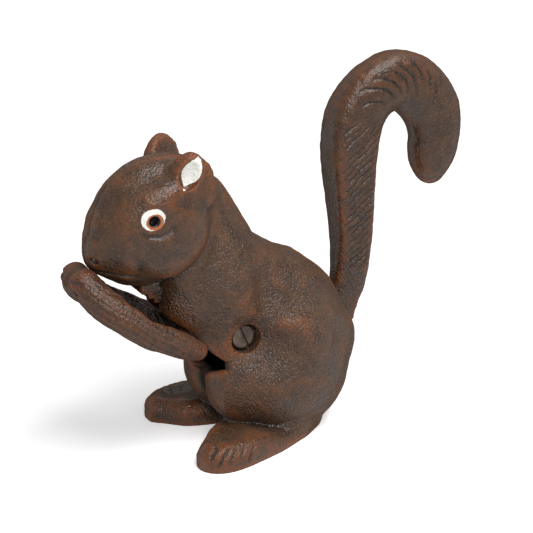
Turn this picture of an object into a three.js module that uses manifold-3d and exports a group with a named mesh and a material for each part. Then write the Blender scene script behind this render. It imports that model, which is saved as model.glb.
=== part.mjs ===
// Squirrel lever nutcracker in cast iron: two hollow body halves that meet on the centre plane,
// one lever casting that is tail, hub and cupped forearms in one, and the slotted screw and nut
// that it turns on. The squirrel faces -X, its left side is -Y, and it stands on z = 0.

import * as THREE from 'three';
import { mergeVertices } from 'three/addons/utils/BufferGeometryUtils.js';
import Module from 'manifold-3d';

const wasm = await Module();
wasm.setup();

// Driving sizes of the body, in millimetres
const bodyHeight = 137; // ground to the crown of the head
const bodyWidth = 70; // across the two haunches
const wall = 6; // iron left around the hollow
const seamGap = 0.3; // between the two halves on the centre plane
const fit = 0.3; // gap between pieces that touch
const overrun = 4; // how far a cutting solid passes the face that it cuts
const trunkBlend = 9; // rounding where trunk masses flow together
const featureBlend = 3.2; // rounding where cheeks and haunches stand proud
const hollowBlend = 5; // rounding at the edges of the shallow hollows

// Pivot, whose place follows the body
const pivotShares = [0.1533, 0.3796];
const pivotForward = pivotShares[0] * bodyHeight; // pivot axis ahead of the middle of the base
const pivotHeight = pivotShares[1] * bodyHeight; // and above the ground
const screwRadius = 3;
const screwHeadRadius = 6.2;
const screwHeadHeight = 3.6;
const screwSlotWidth = 1.5;
const screwSlotDepth = 1.7;
const screwSlotTurn = -52; // degrees from level
const recessRadius = 6.9; // counterbore around the screw head, and around the nut
const recessFloor = 15; // counterbore floor from the centre plane
const bossRadius = 10.5; // inner boss beside the hub
const nutAcrossFlats = 10;
const nutHeight = 5;
const hubRadius = 10.5;
const turnClearance = 0.6; // on each side of the moving lever, inside the slot
const openAngle = 28; // degrees that the lever turns to open

// Lever
const webThickness = 7.8; // hub, bar and root of the tail
const tailHeight = 168.2; // ground to the top of the tail's bend
const tailReach = 102.2; // middle of the base to the back of the hook
const tailGirth = 28; // front to back, at the bend
const tailWidth = 20.6; // across, at the bend
const armReach = 98; // middle of the base to the tips of the paws
const armRise = 95; // ground to the top of the paws
const armSpread = 58; // across the two elbows
const armThickness = 13;
const cupThickness = 12;
const dishGirth = 15; // the round that hollows the cup
const dishRaise = 8.4; // its middle above the forearms' middle

// Feet
const footLength = 71; // heel to toes
const footSpread = 42; // centre plane to the outside of a foot
const footHeight = 11;
const heelBack = 19; // heel behind the middle of the base
const rightToeIn = 3.5; // the right foot's toes lie nearer to the centre plane
const rightToeBack = 2.4; // and further back

// Small features of the head, the seam and the anvil
const earLength = 21;
const earRadius = 8.6;
const earHollowLength = 16;
const earHollowWidth = 9.5;
const earHollowDepth = 3;
const earFaceShare = 0.86; // the hollow's middle lies this share of the ear's radius out from its axis
const earRim = 2; // left above the hollow
const eyeRadius = 3.9;
const eyeRise = 0.8;
const pupilRadius = 2.2;
const pupilDepth = 2;
const anvilWidth = 13;
const anvilTeeth = 5;
const anvilToothDepth = 1.3;
const pegRadius = 2.4;
const pegLength = 4;
const pegBossRadius = 5;

// Trunk and head, as rounds along the middle of the animal. Each row holds the place along X, the
// height and the round's radius as shares of bodyHeight, and its half breadth as a share of bodyWidth.
const trunkShares = [
  [0.05, 0.206, 0.222, 0.4],
  [0.029, 0.277, 0.263, 0.4],
  [0.004, 0.365, 0.25, 0.37],
  [-0.078, 0.447, 0.216, 0.345],
  [-0.212, 0.562, 0.192, 0.314],
  [-0.263, 0.657, 0.181, 0.262],
  [-0.314, 0.752, 0.176, 0.24],
];
const headShares = [
  [-0.365, 0.82, 0.179, 0.25],
  [-0.42, 0.796, 0.198, 0.24],
  [-0.455, 0.74, 0.162, 0.25],
  [-0.562, 0.706, 0.077, 0.15],
];

// Masses on both sides of it: place and half sizes along X, Y and Z. The Y values are shares of
// bodyWidth and the others of bodyHeight. The thigh and the cheek are boxier across than a round.
const bellyShares = [-0.088, 0, 0.19, 0.142, 0.343, 0.13];
const breastShares = [-0.31, 0.1, 0.49, 0.1, 0.16, 0.1];
const flankShares = [-0.182, 0.15, 0.365, 0.1, 0.148, 0.15];
const kneeShares = [-0.162, 0.18, 0.2, 0.09, 0.17, 0.12];
const rumpShares = [0.023, 0.257, 0.232, 0.2, 0.22, 0.205];
const thighShares = [0.011, 0.22, 0.307, 0.155, 0.257, 0.155];
const cheekShares = [-0.42, 0.12, 0.785, 0.16, 0.195, 0.162];
const thighBoxiness = 3;
const cheekBoxiness = 2.7;
// Shallow hollows on both sides: behind the shoulder, above the thigh and around the screw.
const hollowShares = [
  [-0.088, 0.4, 0.575, 0.05, 0.125, 0.14],
  [0.035, 0.47, 0.515, 0.12, 0.14, 0.055],
  [-0.15, 0.44, 0.385, 0.08, 0.125, 0.08],
];

// Three lines drawn on the side view, with as many points each, that steer the skin's ribs: along the
// back, through the middle and along the belly. Shares of bodyHeight.
const backLineShares = [
  [0.22, 0], [0.28, 0.1], [0.3, 0.26], [0.265, 0.44], [0.125, 0.585], [0, 0.66], [-0.1, 0.76],
  [-0.19, 0.905], [-0.305, 1], [-0.46, 0.97], [-0.555, 0.91], [-0.62, 0.79], [-0.64, 0.715],
];
const middleLineShares = [
  [0.02, 0], [0.02, 0.1], [0.015, 0.23], [-0.03, 0.35], [-0.1, 0.467], [-0.19, 0.57], [-0.27, 0.664],
  [-0.336, 0.737], [-0.394, 0.774], [-0.445, 0.774], [-0.489, 0.752], [-0.518, 0.73], [-0.526, 0.722],
];
const bellyLineShares = [
  [-0.2, 0], [-0.21, 0.09], [-0.23, 0.2], [-0.27, 0.307], [-0.307, 0.387], [-0.365, 0.453], [-0.416, 0.54],
  [-0.453, 0.584], [-0.489, 0.591], [-0.533, 0.606], [-0.577, 0.628], [-0.613, 0.664], [-0.64, 0.705],
];
// Front of the chest, from the chin down to the notch above the lap and out again, and the anvil under
// the chin. Shares of bodyHeight.
const chestCutShares = [
  [-0.423, 0.599], [-0.442, 0.555], [-0.431, 0.511], [-0.39, 0.467], [-0.326, 0.421], [-0.278, 0.37],
  [-0.254, 0.334], [-0.228, 0.3], [-0.255, 0.294], [-0.3, 0.292], [-0.36, 0.29], [-0.467, 0.3],
  [-0.613, 0.453], [-0.496, 0.577],
];
const anvilShares = { front: -0.477, back: -0.365, top: 0.62, frontFoot: 0.574, backFoot: 0.482 };
// The lap sinks towards the centre plane: middle and half sizes along X, Y and Z, shares as above
const lapShares = [-0.3, 0, 0.29, 0.095, 0.34, 0.07];
const pegShares = [[-0.43, 0.8], [0.03, 0.1], [-0.13, 0.6]];
const eyeShares = [-0.47, 0.83];
const earShares = { x: -0.318, z: 0.876, y: 0.19, turn: 28, lean: 2, tip: 8 };
const earProfileShares = [
  [0, 0], [0.93, 0], [1, 0.2], [0.97, 0.42], [0.86, 0.62], [0.66, 0.8], [0.39, 0.94], [0, 1],
];

// Foot outline in plan: share of footLength from heel to toes, and share of footSpread outwards
const footShares = [
  [0.972, 0.667], [0.979, 0.81], [0.944, 0.924], [0.869, 0.993], [0.775, 1],
  [0.521, 0.893], [0.239, 0.698], [0.099, 0.536], [-0.014, 0.333], [0.085, 0.095],
  [0.408, 0.05], [0.634, 0.143], [0.803, 0.333], [0.901, 0.5],
];
const footRingShares = [[1, 0], [0.985, 0.32], [0.92, 0.63], [0.8, 0.87], [0.6, 1]]; // spread, height

// Lever, drawn on the side view from the hub along the bar and up the tail: place along X as a share
// of tailReach, height as a share of tailHeight, half girth as a share of tailGirth and half width as a
// share of tailWidth. The first row is the hub, which the pivot places.
const tailShares = [
  [0.06, 0.3, 0.32], [0.25, 0.294, 0.32], [0.35, 0.303, 0.32], [0.405, 0.34, 0.31],
  [0.424, 0.387, 0.305], [0.434, 0.482, 0.325], [0.424, 0.612, 0.37], [0.417, 0.755, 0.445],
  [0.448, 0.843, 0.485], [0.515, 0.893, 0.48], [0.626, 0.919, 0.485], [0.72, 0.905, 0.503],
  [0.79, 0.87, 0.508], [0.845, 0.817, 0.5], [0.866, 0.755, 0.46], [0.858, 0.69, 0.4],
  [0.85, 0.645, 0.3],
];
const tailWidthShares = [
  0, 0, 0, 0, 0.19, 0.29, 0.37, 0.45, 0.49, 0.5, 0.5, 0.5, 0.49, 0.47, 0.45, 0.4, 0.3,
];
// How round the tail's section is, from hub to tip: 1 is an oval, and smaller is squarer
const tailRoundShares = [0.5, 0.5, 0.5, 0.5, 0.5, 0.5, 0.55, 0.7, 0.85, 0.9, 0.95, 1, 1, 1, 1, 1, 1];
// The heel below the tail's root, on the side view: shares of tailReach and of tailHeight
const heelShares = [
  [0.33, 0.28], [0.36, 0.25], [0.41, 0.24], [0.435, 0.255], [0.46, 0.33], [0.44, 0.39], [0.37, 0.34],
];
// Forearm from elbow to paw: place along X as a share of armReach, height as a share of armRise, place
// across as a share of armSpread, and half thickness as a share of armThickness
const armShares = [
  [-0.5, 0.57, 0.385, 0.48], [-0.6, 0.614, 0.385, 0.5], [-0.7, 0.677, 0.37, 0.5], [-0.79, 0.757, 0.31, 0.5],
  [-0.875, 0.827, 0.2, 0.5], [-0.925, 0.898, 0.08, 0.48],
];
// The cup between the forearms and the dish sunk into it: where they begin and end as shares of the
// way from the elbows to the paws, and half widths as shares of armSpread
const cupFromShare = 0.08;
const dishFromShare = 0.16;
const dishToShare = 0.56;
const cupShares = [0.36, 0.4, 0.38, 0.32, 0.22, 0.1];
const dishShares = [0.26, 0.38, 0.4, 0.34];
// The web between the hub and the elbows: two points off the pivot as shares of hubRadius, then four off
// the elbows' middle as shares of cupThickness.
const webRootShares = [[-0.61, -0.52], [-0.61, 0.76]];
const webTipShares = [[0.5, 0.24], [-0.17, 0.15], [0, -0.4], [0.83, -0.8]];
const skinRings = 44;
const skinSpokes = 40;
const hollowRings = 22;
const hollowSpokes = 20;
const hollowStartShare = 0.045; // share of the way along the lines where the hollow begins
const hollowEndShare = 0.82;
const roundsPerRow = 4;
const marchSteps = 60;
const marchShare = 0.85; // how much of the distance to the surface one step covers
const roundSides = 28;
const sectorSegments = 8;
const footSpokes = 36;
const tailRings = 46;
const tailSpokes = 16;
const armRings = 10;
const armSpokes = 12;
const cupSpokes = 28;
const capAngles = [65, 38, 15].map((angle) => angle * Math.PI / 180);
const nutSides = 6;
// The slots that the lever passes through, around the pivot: reach, and angles from +X in degrees, with
// the turn of the lever added at the end that it opens towards. The front one narrows outwards.
const frontSlotFromAngle = 148;
const frontSlots = [[24, 216 + openAngle], [42, 195 + openAngle]];
const backSlotReach = 90;
const backSlotFromAngle = -16;
const backSlotToAngle = 13 + openAngle;

const degrees = Math.PI / 180;

// Solids and meshes

function solid(geometry) {
  const bare = geometry.index ? geometry : mergeVertices(geometry);
  bare.deleteAttribute('normal');
  bare.deleteAttribute('uv');
  const closed = mergeVertices(bare);
  return new wasm.Manifold(new wasm.Mesh({
    numProp: 3,
    vertProperties: new Float32Array(closed.attributes.position.array),
    triVerts: new Uint32Array(closed.index.array),
  }));
}

function block(x0, x1, y0, y1, z0, z1) {
  const box = new THREE.BoxGeometry(x1 - x0, y1 - y0, z1 - z0);
  return solid(box.translate((x0 + x1) / 2, (y0 + y1) / 2, (z0 + z1) / 2));
}

// A rod along Y from y0 to y1, standing at x, z.
function rod(radius, x, z, y0, y1, sides) {
  const bar = new THREE.CylinderGeometry(radius, radius, y1 - y0, sides);
  return solid(bar.translate(x, (y0 + y1) / 2, z));
}

// A flat outline of the side view, given thickness from y0 to y1.
function plate(shape, y0, y1, curveSegments = 10) {
  const slab = new THREE.ExtrudeGeometry(shape, { depth: y1 - y0, bevelEnabled: false, curveSegments });
  return solid(slab.rotateX(Math.PI / 2).translate(0, y1, 0));
}

function mesh(name, body, colour, metalness, roughness) {
  const { vertProperties, triVerts } = body.getMesh();
  const geometry = new THREE.BufferGeometry();
  geometry.setAttribute('position', new THREE.BufferAttribute(new Float32Array(vertProperties), 3));
  geometry.setIndex(new THREE.BufferAttribute(new Uint32Array(triVerts), 1));
  geometry.computeVertexNormals();
  const material = new THREE.MeshStandardMaterial({ color: colour, metalness, roughness });
  const piece = new THREE.Mesh(geometry, material);
  piece.name = name;
  return piece;
}

// The sculpted form, as a depth below the surface that is negative inside

function blend(a, b, reach) {
  const share = Math.max(reach - Math.abs(a - b), 0) / reach;
  return Math.min(a, b) - share * share * reach / 4;
}

// Depth of a point in an ellipse-like round: offsets and half sizes, in any number of directions.
function roundDepth(offsets, halves) {
  const near = Math.hypot(...offsets.map((offset, i) => offset / halves[i]));
  const steep = Math.hypot(...offsets.map((offset, i) => offset / halves[i] ** 2));
  return steep > 0 ? near * (near - 1) / steep : -Math.min(...halves);
}

// A smooth run of rounds through the rows of a share table.
function chain(rows) {
  const places = new THREE.CatmullRomCurve3(rows.map((row) => new THREE.Vector3(row[0], 0, row[1])));
  const sizes = new THREE.CatmullRomCurve3(rows.map((row) => new THREE.Vector3(row[2], 0, row[3])));
  const count = (rows.length - 1) * roundsPerRow;
  return Array.from({ length: count + 1 }, (_, i) => {
    const place = places.getPoint(i / count).multiplyScalar(bodyHeight);
    const size = sizes.getPoint(i / count);
    return { x: place.x, z: place.z, radius: size.x * bodyHeight, breadth: size.z * bodyWidth };
  });
}

function chainDepth(rounds, p) {
  let depth = Infinity;
  for (let i = 1; i < rounds.length; i += 1) {
    const a = rounds[i - 1];
    const b = rounds[i];
    const dx = b.x - a.x;
    const dz = b.z - a.z;
    const along = ((p.x - a.x) * dx + (p.z - a.z) * dz) / (dx * dx + dz * dz);
    const t = THREE.MathUtils.clamp(along, 0, 1);
    const off = Math.hypot(p.x - a.x - t * dx, p.z - a.z - t * dz);
    const radius = THREE.MathUtils.lerp(a.radius, b.radius, t);
    const breadth = THREE.MathUtils.lerp(a.breadth, b.breadth, t);
    depth = Math.min(depth, roundDepth([off, p.y], [radius, breadth]));
  }
  return depth;
}

// Depth of a point in a mass of a share table. A boxiness above 2 makes it steeper across.
function massDepth([x, y, z, a, b, c], p, boxiness = 2) {
  const [length, breadth, height] = [a * bodyHeight, b * bodyWidth, c * bodyHeight];
  const ahead = (p.x - x * bodyHeight) / length;
  const above = (p.z - z * bodyHeight) / height;
  const across = Math.abs(Math.abs(p.y) - y * bodyWidth) / breadth;
  const flat = Math.max(Math.hypot(ahead, above), Number.EPSILON);
  const near = Math.max((flat ** boxiness + across ** boxiness) ** (1 / boxiness), Number.EPSILON);
  const slope = Math.hypot(ahead / length, above / height) / flat * (flat / near) ** (boxiness - 1);
  return (near - 1) / Math.hypot(slope, (across / near) ** (boxiness - 1) / breadth);
}

const trunk = chain(trunkShares);
const head = chain(headShares);

function bodyDepth(p) {
  let torso = blend(chainDepth(trunk, p), massDepth(bellyShares, p), trunkBlend);
  torso = blend(torso, massDepth(rumpShares, p), trunkBlend);
  for (const row of [breastShares, flankShares, kneeShares]) {
    torso = blend(torso, massDepth(row, p), hollowBlend);
  }
  for (const row of hollowShares) {
    torso = -blend(-torso, massDepth(row, p), hollowBlend);
  }
  const seat = blend(torso, massDepth(thighShares, p, thighBoxiness), featureBlend);
  const skull = blend(chainDepth(head, p), massDepth(cheekShares, p, cheekBoxiness), featureBlend);
  return blend(seat, skull, featureBlend);
}

function sideCurve(shares) {
  const points = shares.map(([x, z]) => new THREE.Vector3(x, 0, z).multiplyScalar(bodyHeight));
  return new THREE.CatmullRomCurve3(points);
}

const backLine = sideCurve(backLineShares);
const middleLine = sideCurve(middleLineShares);
const bellyLine = sideCurve(bellyLineShares);

// The point where a ray from inside meets the surface.
function reachSurface(depth, origin, direction) {
  const point = origin.clone();
  for (let step = 0; step < marchSteps; step += 1) {
    point.addScaledVector(direction, -depth(point) * marchShare);
  }
  return point;
}

// A closed skin on the given depth: ribs fan out from the middle line towards the back and belly
// lines, each rib a ring of rays, closed flat at the start and by a point on the surface at the end.
function skin(depth, rings, spokes, from, to) {
  const points = [];
  for (let ring = 0; ring < rings; ring += 1) {
    const t = THREE.MathUtils.lerp(from, to, ring / rings);
    const origin = middleLine.getPoint(t);
    const upward = backLine.getPoint(t).sub(origin).normalize();
    const downward = bellyLine.getPoint(t).sub(origin).normalize();
    const lean = upward.clone().add(downward).multiplyScalar(0.5);
    const swing = upward.clone().sub(downward).multiplyScalar(0.5);
    for (let spoke = 0; spoke < spokes; spoke += 1) {
      const angle = 2 * Math.PI * spoke / spokes;
      const direction = lean.clone().addScaledVector(swing, Math.cos(angle));
      direction.y = Math.sin(angle) * swing.length();
      points.push(reachSurface(depth, origin, direction.normalize()));
    }
  }
  const start = middleLine.getPoint(from);
  const finish = middleLine.getPoint(to);
  const ahead = backLine.getPoint(to).add(bellyLine.getPoint(to)).multiplyScalar(0.5).sub(finish);
  points.push(start);
  points.push(reachSurface(depth, finish, ahead.normalize()));
  return closedRings(points, rings, spokes);
}

// Rings of points, followed by a first and a last centre point, as a closed solid.
function closedRings(points, rings, spokes) {
  const first = rings * spokes;
  const faces = [];
  for (let spoke = 0; spoke < spokes; spoke += 1) {
    const next = (spoke + 1) % spokes;
    for (let ring = 0; ring + 1 < rings; ring += 1) {
      const a = ring * spokes + spoke;
      const b = ring * spokes + next;
      faces.push(a, b, b + spokes, a, b + spokes, a + spokes);
    }
    faces.push(first, next, spoke);
    faces.push(first + 1, first - spokes + spoke, first - spokes + next);
  }
  const geometry = new THREE.BufferGeometry().setFromPoints(points);
  geometry.setIndex(faces);
  return solid(geometry);
}

// A limb along a curve, with oval sections: half girth in the plane of the side view, half width
// across it and roundness, each a function of the share of the length. Both ends are rounded.
function limb(centre, halfGirth, halfWidth, rings, spokes, roundness = () => 1) {
  const points = [];
  const squared = (part, t) => Math.sign(part) * Math.abs(part) ** roundness(t);
  const across = new THREE.Vector3(0, 1, 0);
  const ring = (t, ahead, shrink) => {
    const tangent = centre.getTangent(t);
    const side = across.clone().addScaledVector(tangent, -tangent.dot(across)).normalize();
    const outward = side.clone().cross(tangent);
    const middle = centre.getPoint(t).addScaledVector(tangent, ahead);
    for (let spoke = 0; spoke < spokes; spoke += 1) {
      const angle = 2 * Math.PI * spoke / spokes;
      const rise = halfGirth(t) * shrink * squared(Math.cos(angle), t);
      const spread = halfWidth(t) * shrink * squared(Math.sin(angle), t);
      points.push(middle.clone().addScaledVector(outward, rise).addScaledVector(side, spread));
    }
  };
  const capReach = (t) => Math.min(halfGirth(t), halfWidth(t));
  capAngles.forEach((angle) => ring(0, -capReach(0) * Math.sin(angle), Math.cos(angle)));
  for (let i = 0; i < rings; i += 1) {
    ring(i / (rings - 1), 0, 1);
  }
  [...capAngles].reverse().forEach((angle) => ring(1, capReach(1) * Math.sin(angle), Math.cos(angle)));
  points.push(centre.getPoint(0).addScaledVector(centre.getTangent(0), -capReach(0)));
  points.push(centre.getPoint(1).addScaledVector(centre.getTangent(1), capReach(1)));
  return closedRings(points, rings + 2 * capAngles.length, spokes);
}

// Reads a column of a share table as a smooth function of the share of the length.
function column(values) {
  const curve = new THREE.CatmullRomCurve3(values.map((value, i) => new THREE.Vector3(i, 0, value)));
  return (t) => curve.getPoint(t).z;
}

// Body halves

function sidePolygon(shares) {
  return new THREE.Shape(shares.map(([x, z]) => new THREE.Vector2(x * bodyHeight, z * bodyHeight)));
}

// The part of a disc around the pivot that the lever sweeps, between two angles from +X.
function sector(reach, from, to) {
  const arc = new THREE.EllipseCurve(-pivotForward, pivotHeight, reach, reach, from * degrees, to * degrees);
  const outline = [new THREE.Vector2(-pivotForward, pivotHeight), ...arc.getPoints(sectorSegments)];
  return plate(new THREE.Shape(outline), -slotHalf, slotHalf);
}

// A foot. Side is -1 for the left foot and 1 for the right one, whose toes point further in.
function foot(side) {
  const pull = side > 0 ? 1 : 0;
  const outline = new THREE.CatmullRomCurve3(footShares.map(([x, y]) => {
    const ahead = pull * THREE.MathUtils.smoothstep(x, 0.5, 1);
    const across = y * footSpread - ahead * rightToeIn;
    return new THREE.Vector3(heelBack - x * footLength + ahead * rightToeBack, across * side, 0);
  }), true);
  const plan = outline.getPoints(footSpokes).slice(0, footSpokes);
  if (side > 0) {
    plan.reverse();
  }
  const middle = plan.reduce((sum, point) => sum.add(point), new THREE.Vector3()).divideScalar(footSpokes);
  const points = [];
  for (const [spread, rise] of footRingShares) {
    for (const point of plan) {
      points.push(middle.clone().lerp(point, spread).setZ(rise * footHeight));
    }
  }
  points.push(middle.clone(), middle.clone().setZ(footHeight));
  return closedRings(points, footRingShares.length, footSpokes);
}

// Sets a form that stands on its own origin on the head, where an ear grows.
function setEar(side, form) {
  form.rotateX(-side * earShares.tip * degrees).rotateY(earShares.lean * degrees);
  form.rotateZ(side * earShares.turn * degrees);
  form.translate(earShares.x * bodyHeight, side * earShares.y * bodyWidth, earShares.z * bodyHeight);
  return solid(form);
}

function ear(side) {
  const profile = earProfileShares.map(([out, up]) => new THREE.Vector2(out * earRadius, up * earLength));
  return setEar(side, new THREE.LatheGeometry([...profile, profile[0]], roundSides).rotateX(Math.PI / 2));
}

function earHollow(side) {
  const leaf = new THREE.SphereGeometry(1, roundSides, roundSides / 2).rotateX(Math.PI / 2);
  leaf.scale(earHollowWidth / 2, earHollowDepth, earHollowLength / 2);
  leaf.translate(0, side * earRadius * earFaceShare, earLength - earHollowLength / 2 - earRim);
  return setEar(side, leaf);
}

function anvil() {
  const { front, back, top, frontFoot, backFoot } = anvilShares;
  const shape = new THREE.Shape();
  const start = new THREE.Vector2(front, frontFoot).multiplyScalar(bodyHeight);
  const end = new THREE.Vector2(back, backFoot).multiplyScalar(bodyHeight);
  const step = end.clone().sub(start).divideScalar(anvilTeeth);
  const inward = new THREE.Vector2(-step.y, step.x).normalize().multiplyScalar(anvilToothDepth);
  shape.moveTo(front * bodyHeight, top * bodyHeight);
  shape.lineTo(start.x, start.y);
  for (let tooth = 1; tooth <= anvilTeeth; tooth += 1) {
    const tip = start.clone().addScaledVector(step, tooth);
    const root = tip.clone().addScaledVector(step, -0.5).add(inward);
    shape.lineTo(root.x, root.y);
    shape.lineTo(tip.x, tip.y);
  }
  shape.lineTo(back * bodyHeight, top * bodyHeight);
  return plate(shape, -anvilWidth / 2, anvilWidth / 2);
}

const slotHalf = webThickness / 2 + turnClearance;
const far = bodyHeight; // clear of everything on the body
const bodySkin = skin(bodyDepth, skinRings, skinSpokes, 0, 1);
const inside = (p) => bodyDepth(p) + wall;
const hollow = skin(inside, hollowRings, hollowSpokes, hollowStartShare, hollowEndShare);

// The outside of the body beside a point of the side view, as a distance from the centre plane.
function breadthAt(x, z) {
  return reachSurface(bodyDepth, new THREE.Vector3(x, 0, z), new THREE.Vector3(0, 1, 0)).y;
}

// A rod along Y, from y0 to y1 on the given side of the centre plane.
function sideRod(side, radius, x, z, y0, y1, sides = roundSides) {
  return rod(radius, x, z, Math.min(side * y0, side * y1), Math.max(side * y0, side * y1), sides);
}

const pegPlaces = pegShares.map(([x, z]) => [x * bodyHeight, z * bodyHeight]);

// One half of the body, without the pegs. Side is -1 for the left half and 1 for the right one.
function bodyHalf(side) {
  const [inner, outer] = [side * seamGap / 2, side * far];
  const keep = block(-far, far, Math.min(inner, outer), Math.max(inner, outer), -overrun, far + overrun);
  let half = bodySkin.add(foot(side)).subtract(hollow);
  const pegBosses = pegPlaces.map(([x, z]) => [x, z, pegBossRadius]);
  for (const [x, z, radius] of [[-pivotForward, pivotHeight, bossRadius], ...pegBosses]) {
    half = half.add(sideRod(side, radius, x, z, 0, breadthAt(x, z) - wall / 2));
  }
  half = half.subtract(plate(sidePolygon(chestCutShares), -bodyWidth, bodyWidth)).add(anvil());
  const lap = new THREE.SphereGeometry(1, roundSides, roundSides / 2);
  lap.scale(lapShares[3] * bodyHeight, lapShares[4] * bodyWidth, lapShares[5] * bodyHeight);
  lap.translate(lapShares[0] * bodyHeight, lapShares[1] * bodyWidth, lapShares[2] * bodyHeight);
  half = half.subtract(solid(lap));
  for (const [reach, toAngle] of frontSlots) {
    half = half.subtract(sector(reach, frontSlotFromAngle, toAngle));
  }
  half = half.subtract(sector(backSlotReach, backSlotFromAngle, backSlotToAngle));
  const hubRoom = hubRadius + turnClearance;
  half = half.subtract(rod(hubRoom, -pivotForward, pivotHeight, -slotHalf, slotHalf, roundSides));
  half = half.subtract(sideRod(side, screwRadius + fit, -pivotForward, pivotHeight, 0, bodyWidth));
  half = half.subtract(sideRod(side, recessRadius, -pivotForward, pivotHeight, recessFloor, bodyWidth));
  half = half.add(ear(side)).subtract(earHollow(side));
  const [eyeX, eyeZ] = eyeShares.map((share) => share * bodyHeight);
  const eyeFace = breadthAt(eyeX, eyeZ);
  half = half.add(sideRod(side, eyeRadius, eyeX, eyeZ, eyeFace - wall / 2, eyeFace + eyeRise));
  half = half.subtract(sideRod(side, pupilRadius, eyeX, eyeZ, eyeFace - pupilDepth, bodyWidth));
  return half.intersect(keep);
}

let leftHalf = bodyHalf(-1);
let rightHalf = bodyHalf(1);
for (const [x, z] of pegPlaces) {
  leftHalf = leftHalf.add(rod(pegRadius, x, z, -pegLength, pegLength, roundSides));
  rightHalf = rightHalf.subtract(rod(pegRadius + fit, x, z, 0, pegLength + fit, roundSides));
}

// Lever

function tail() {
  const rows = tailShares.map(([x, z]) => new THREE.Vector3(x * tailReach, 0, z * tailHeight));
  const centre = new THREE.CatmullRomCurve3([new THREE.Vector3(-pivotForward, 0, pivotHeight), ...rows]);
  const girth = column([tailShares[0][2], ...tailShares.map((row) => row[2])]);
  const width = column([0, ...tailWidthShares]);
  const root = webThickness / 2;
  const halfWidth = (t) => Math.max(root, width(t) * tailWidth);
  const roundness = column([tailRoundShares[0], ...tailRoundShares]);
  return limb(centre, (t) => girth(t) * tailGirth, halfWidth, tailRings, tailSpokes, roundness);
}

function forearm(side) {
  const rows = armShares.map((row) => (
    new THREE.Vector3(row[0] * armReach, side * row[2] * armSpread, row[1] * armRise)));
  const half = column(armShares.map((row) => row[3]));
  const thick = (t) => half(t) * armThickness;
  return limb(new THREE.CatmullRomCurve3(rows), thick, thick, armRings, armSpokes);
}

// A stretch of the forearms' middle, seen from the side, raised by a height.
function armLine(from, to, raised) {
  const rows = armShares.map(([x, z]) => new THREE.Vector3(x * armReach, 0, z * armRise + raised));
  const line = new THREE.CatmullRomCurve3(rows);
  const last = rows.length - 1;
  const points = rows.map((_, i) => line.getPoint(THREE.MathUtils.lerp(from, to, i / last)));
  return new THREE.CatmullRomCurve3(points);
}

function trough(line, thickness, widthShares) {
  const width = column(widthShares);
  return limb(line, () => thickness / 2, (t) => width(t) * armSpread, armRings, cupSpokes);
}

function cup() {
  return trough(armLine(cupFromShare, 1, 0), cupThickness, cupShares).add(forearm(1)).add(forearm(-1))
    .subtract(trough(armLine(dishFromShare, dishToShare, dishRaise), dishGirth, dishShares));
}

function webPlate() {
  const pivot = new THREE.Vector2(-pivotForward, pivotHeight);
  const elbow = new THREE.Vector2(armShares[0][0] * armReach, armShares[0][1] * armRise);
  const root = webRootShares.map(([x, z]) => new THREE.Vector2(x, z).multiplyScalar(hubRadius).add(pivot));
  const tip = webTipShares.map(([x, z]) => new THREE.Vector2(x, z).multiplyScalar(cupThickness).add(elbow));
  return plate(new THREE.Shape([...root, ...tip]), -webThickness / 2, webThickness / 2);
}

// A flat piece of the lever, drawn in shares of the tail's sizes.
function heel() {
  const outline = heelShares.map(([x, z]) => new THREE.Vector2(x * tailReach, z * tailHeight));
  return plate(new THREE.Shape(outline), -webThickness / 2, webThickness / 2);
}

const hub = rod(hubRadius, -pivotForward, pivotHeight, -webThickness / 2, webThickness / 2, roundSides);
const lever = tail().add(hub).add(webPlate()).add(heel()).add(cup())
  .subtract(rod(screwRadius + fit, -pivotForward, pivotHeight, -webThickness, webThickness, roundSides));

// Screw and nut

function screw() {
  const under = recessFloor + fit;
  const face = under + screwHeadHeight;
  const slot = new THREE.BoxGeometry(2 * screwHeadRadius + fit, 2 * screwSlotDepth, screwSlotWidth);
  slot.rotateY(-screwSlotTurn * degrees).translate(-pivotForward, -face, pivotHeight);
  return rod(screwRadius, -pivotForward, pivotHeight, fit - face, recessFloor + fit + nutHeight, roundSides)
    .add(rod(screwHeadRadius, -pivotForward, pivotHeight, -face, -under, roundSides))
    .subtract(solid(slot));
}

function nut() {
  const corner = nutAcrossFlats / 2 / Math.cos(Math.PI / nutSides);
  const seat = recessFloor + fit;
  return rod(corner, -pivotForward, pivotHeight, seat, seat + nutHeight, nutSides)
    .subtract(rod(screwRadius + fit, -pivotForward, pivotHeight, 0, bodyWidth, roundSides));
}

const ironColour = 0x62463a;
const steelColour = 0x6b625c;
const group = new THREE.Group();
group.add(mesh('left_body_half', leftHalf, ironColour, 0.4, 0.5));
group.add(mesh('right_body_half', rightHalf, ironColour, 0.4, 0.5));
group.add(mesh('lever', lever, ironColour, 0.4, 0.5));
group.add(mesh('pivot_screw', screw(), steelColour, 0.8, 0.45));
group.add(mesh('pivot_nut', nut(), steelColour, 0.8, 0.45));

// The part stands with the middle of its length over the origin.
const span = new THREE.Box3().setFromObject(group);
const ahead = (span.min.x + span.max.x) / 2;
group.children.forEach((piece) => piece.geometry.translate(-ahead, 0, 0));

export default group;
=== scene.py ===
import math
import bpy
import bmesh
import numpy as np
from mathutils import Matrix, Vector


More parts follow.
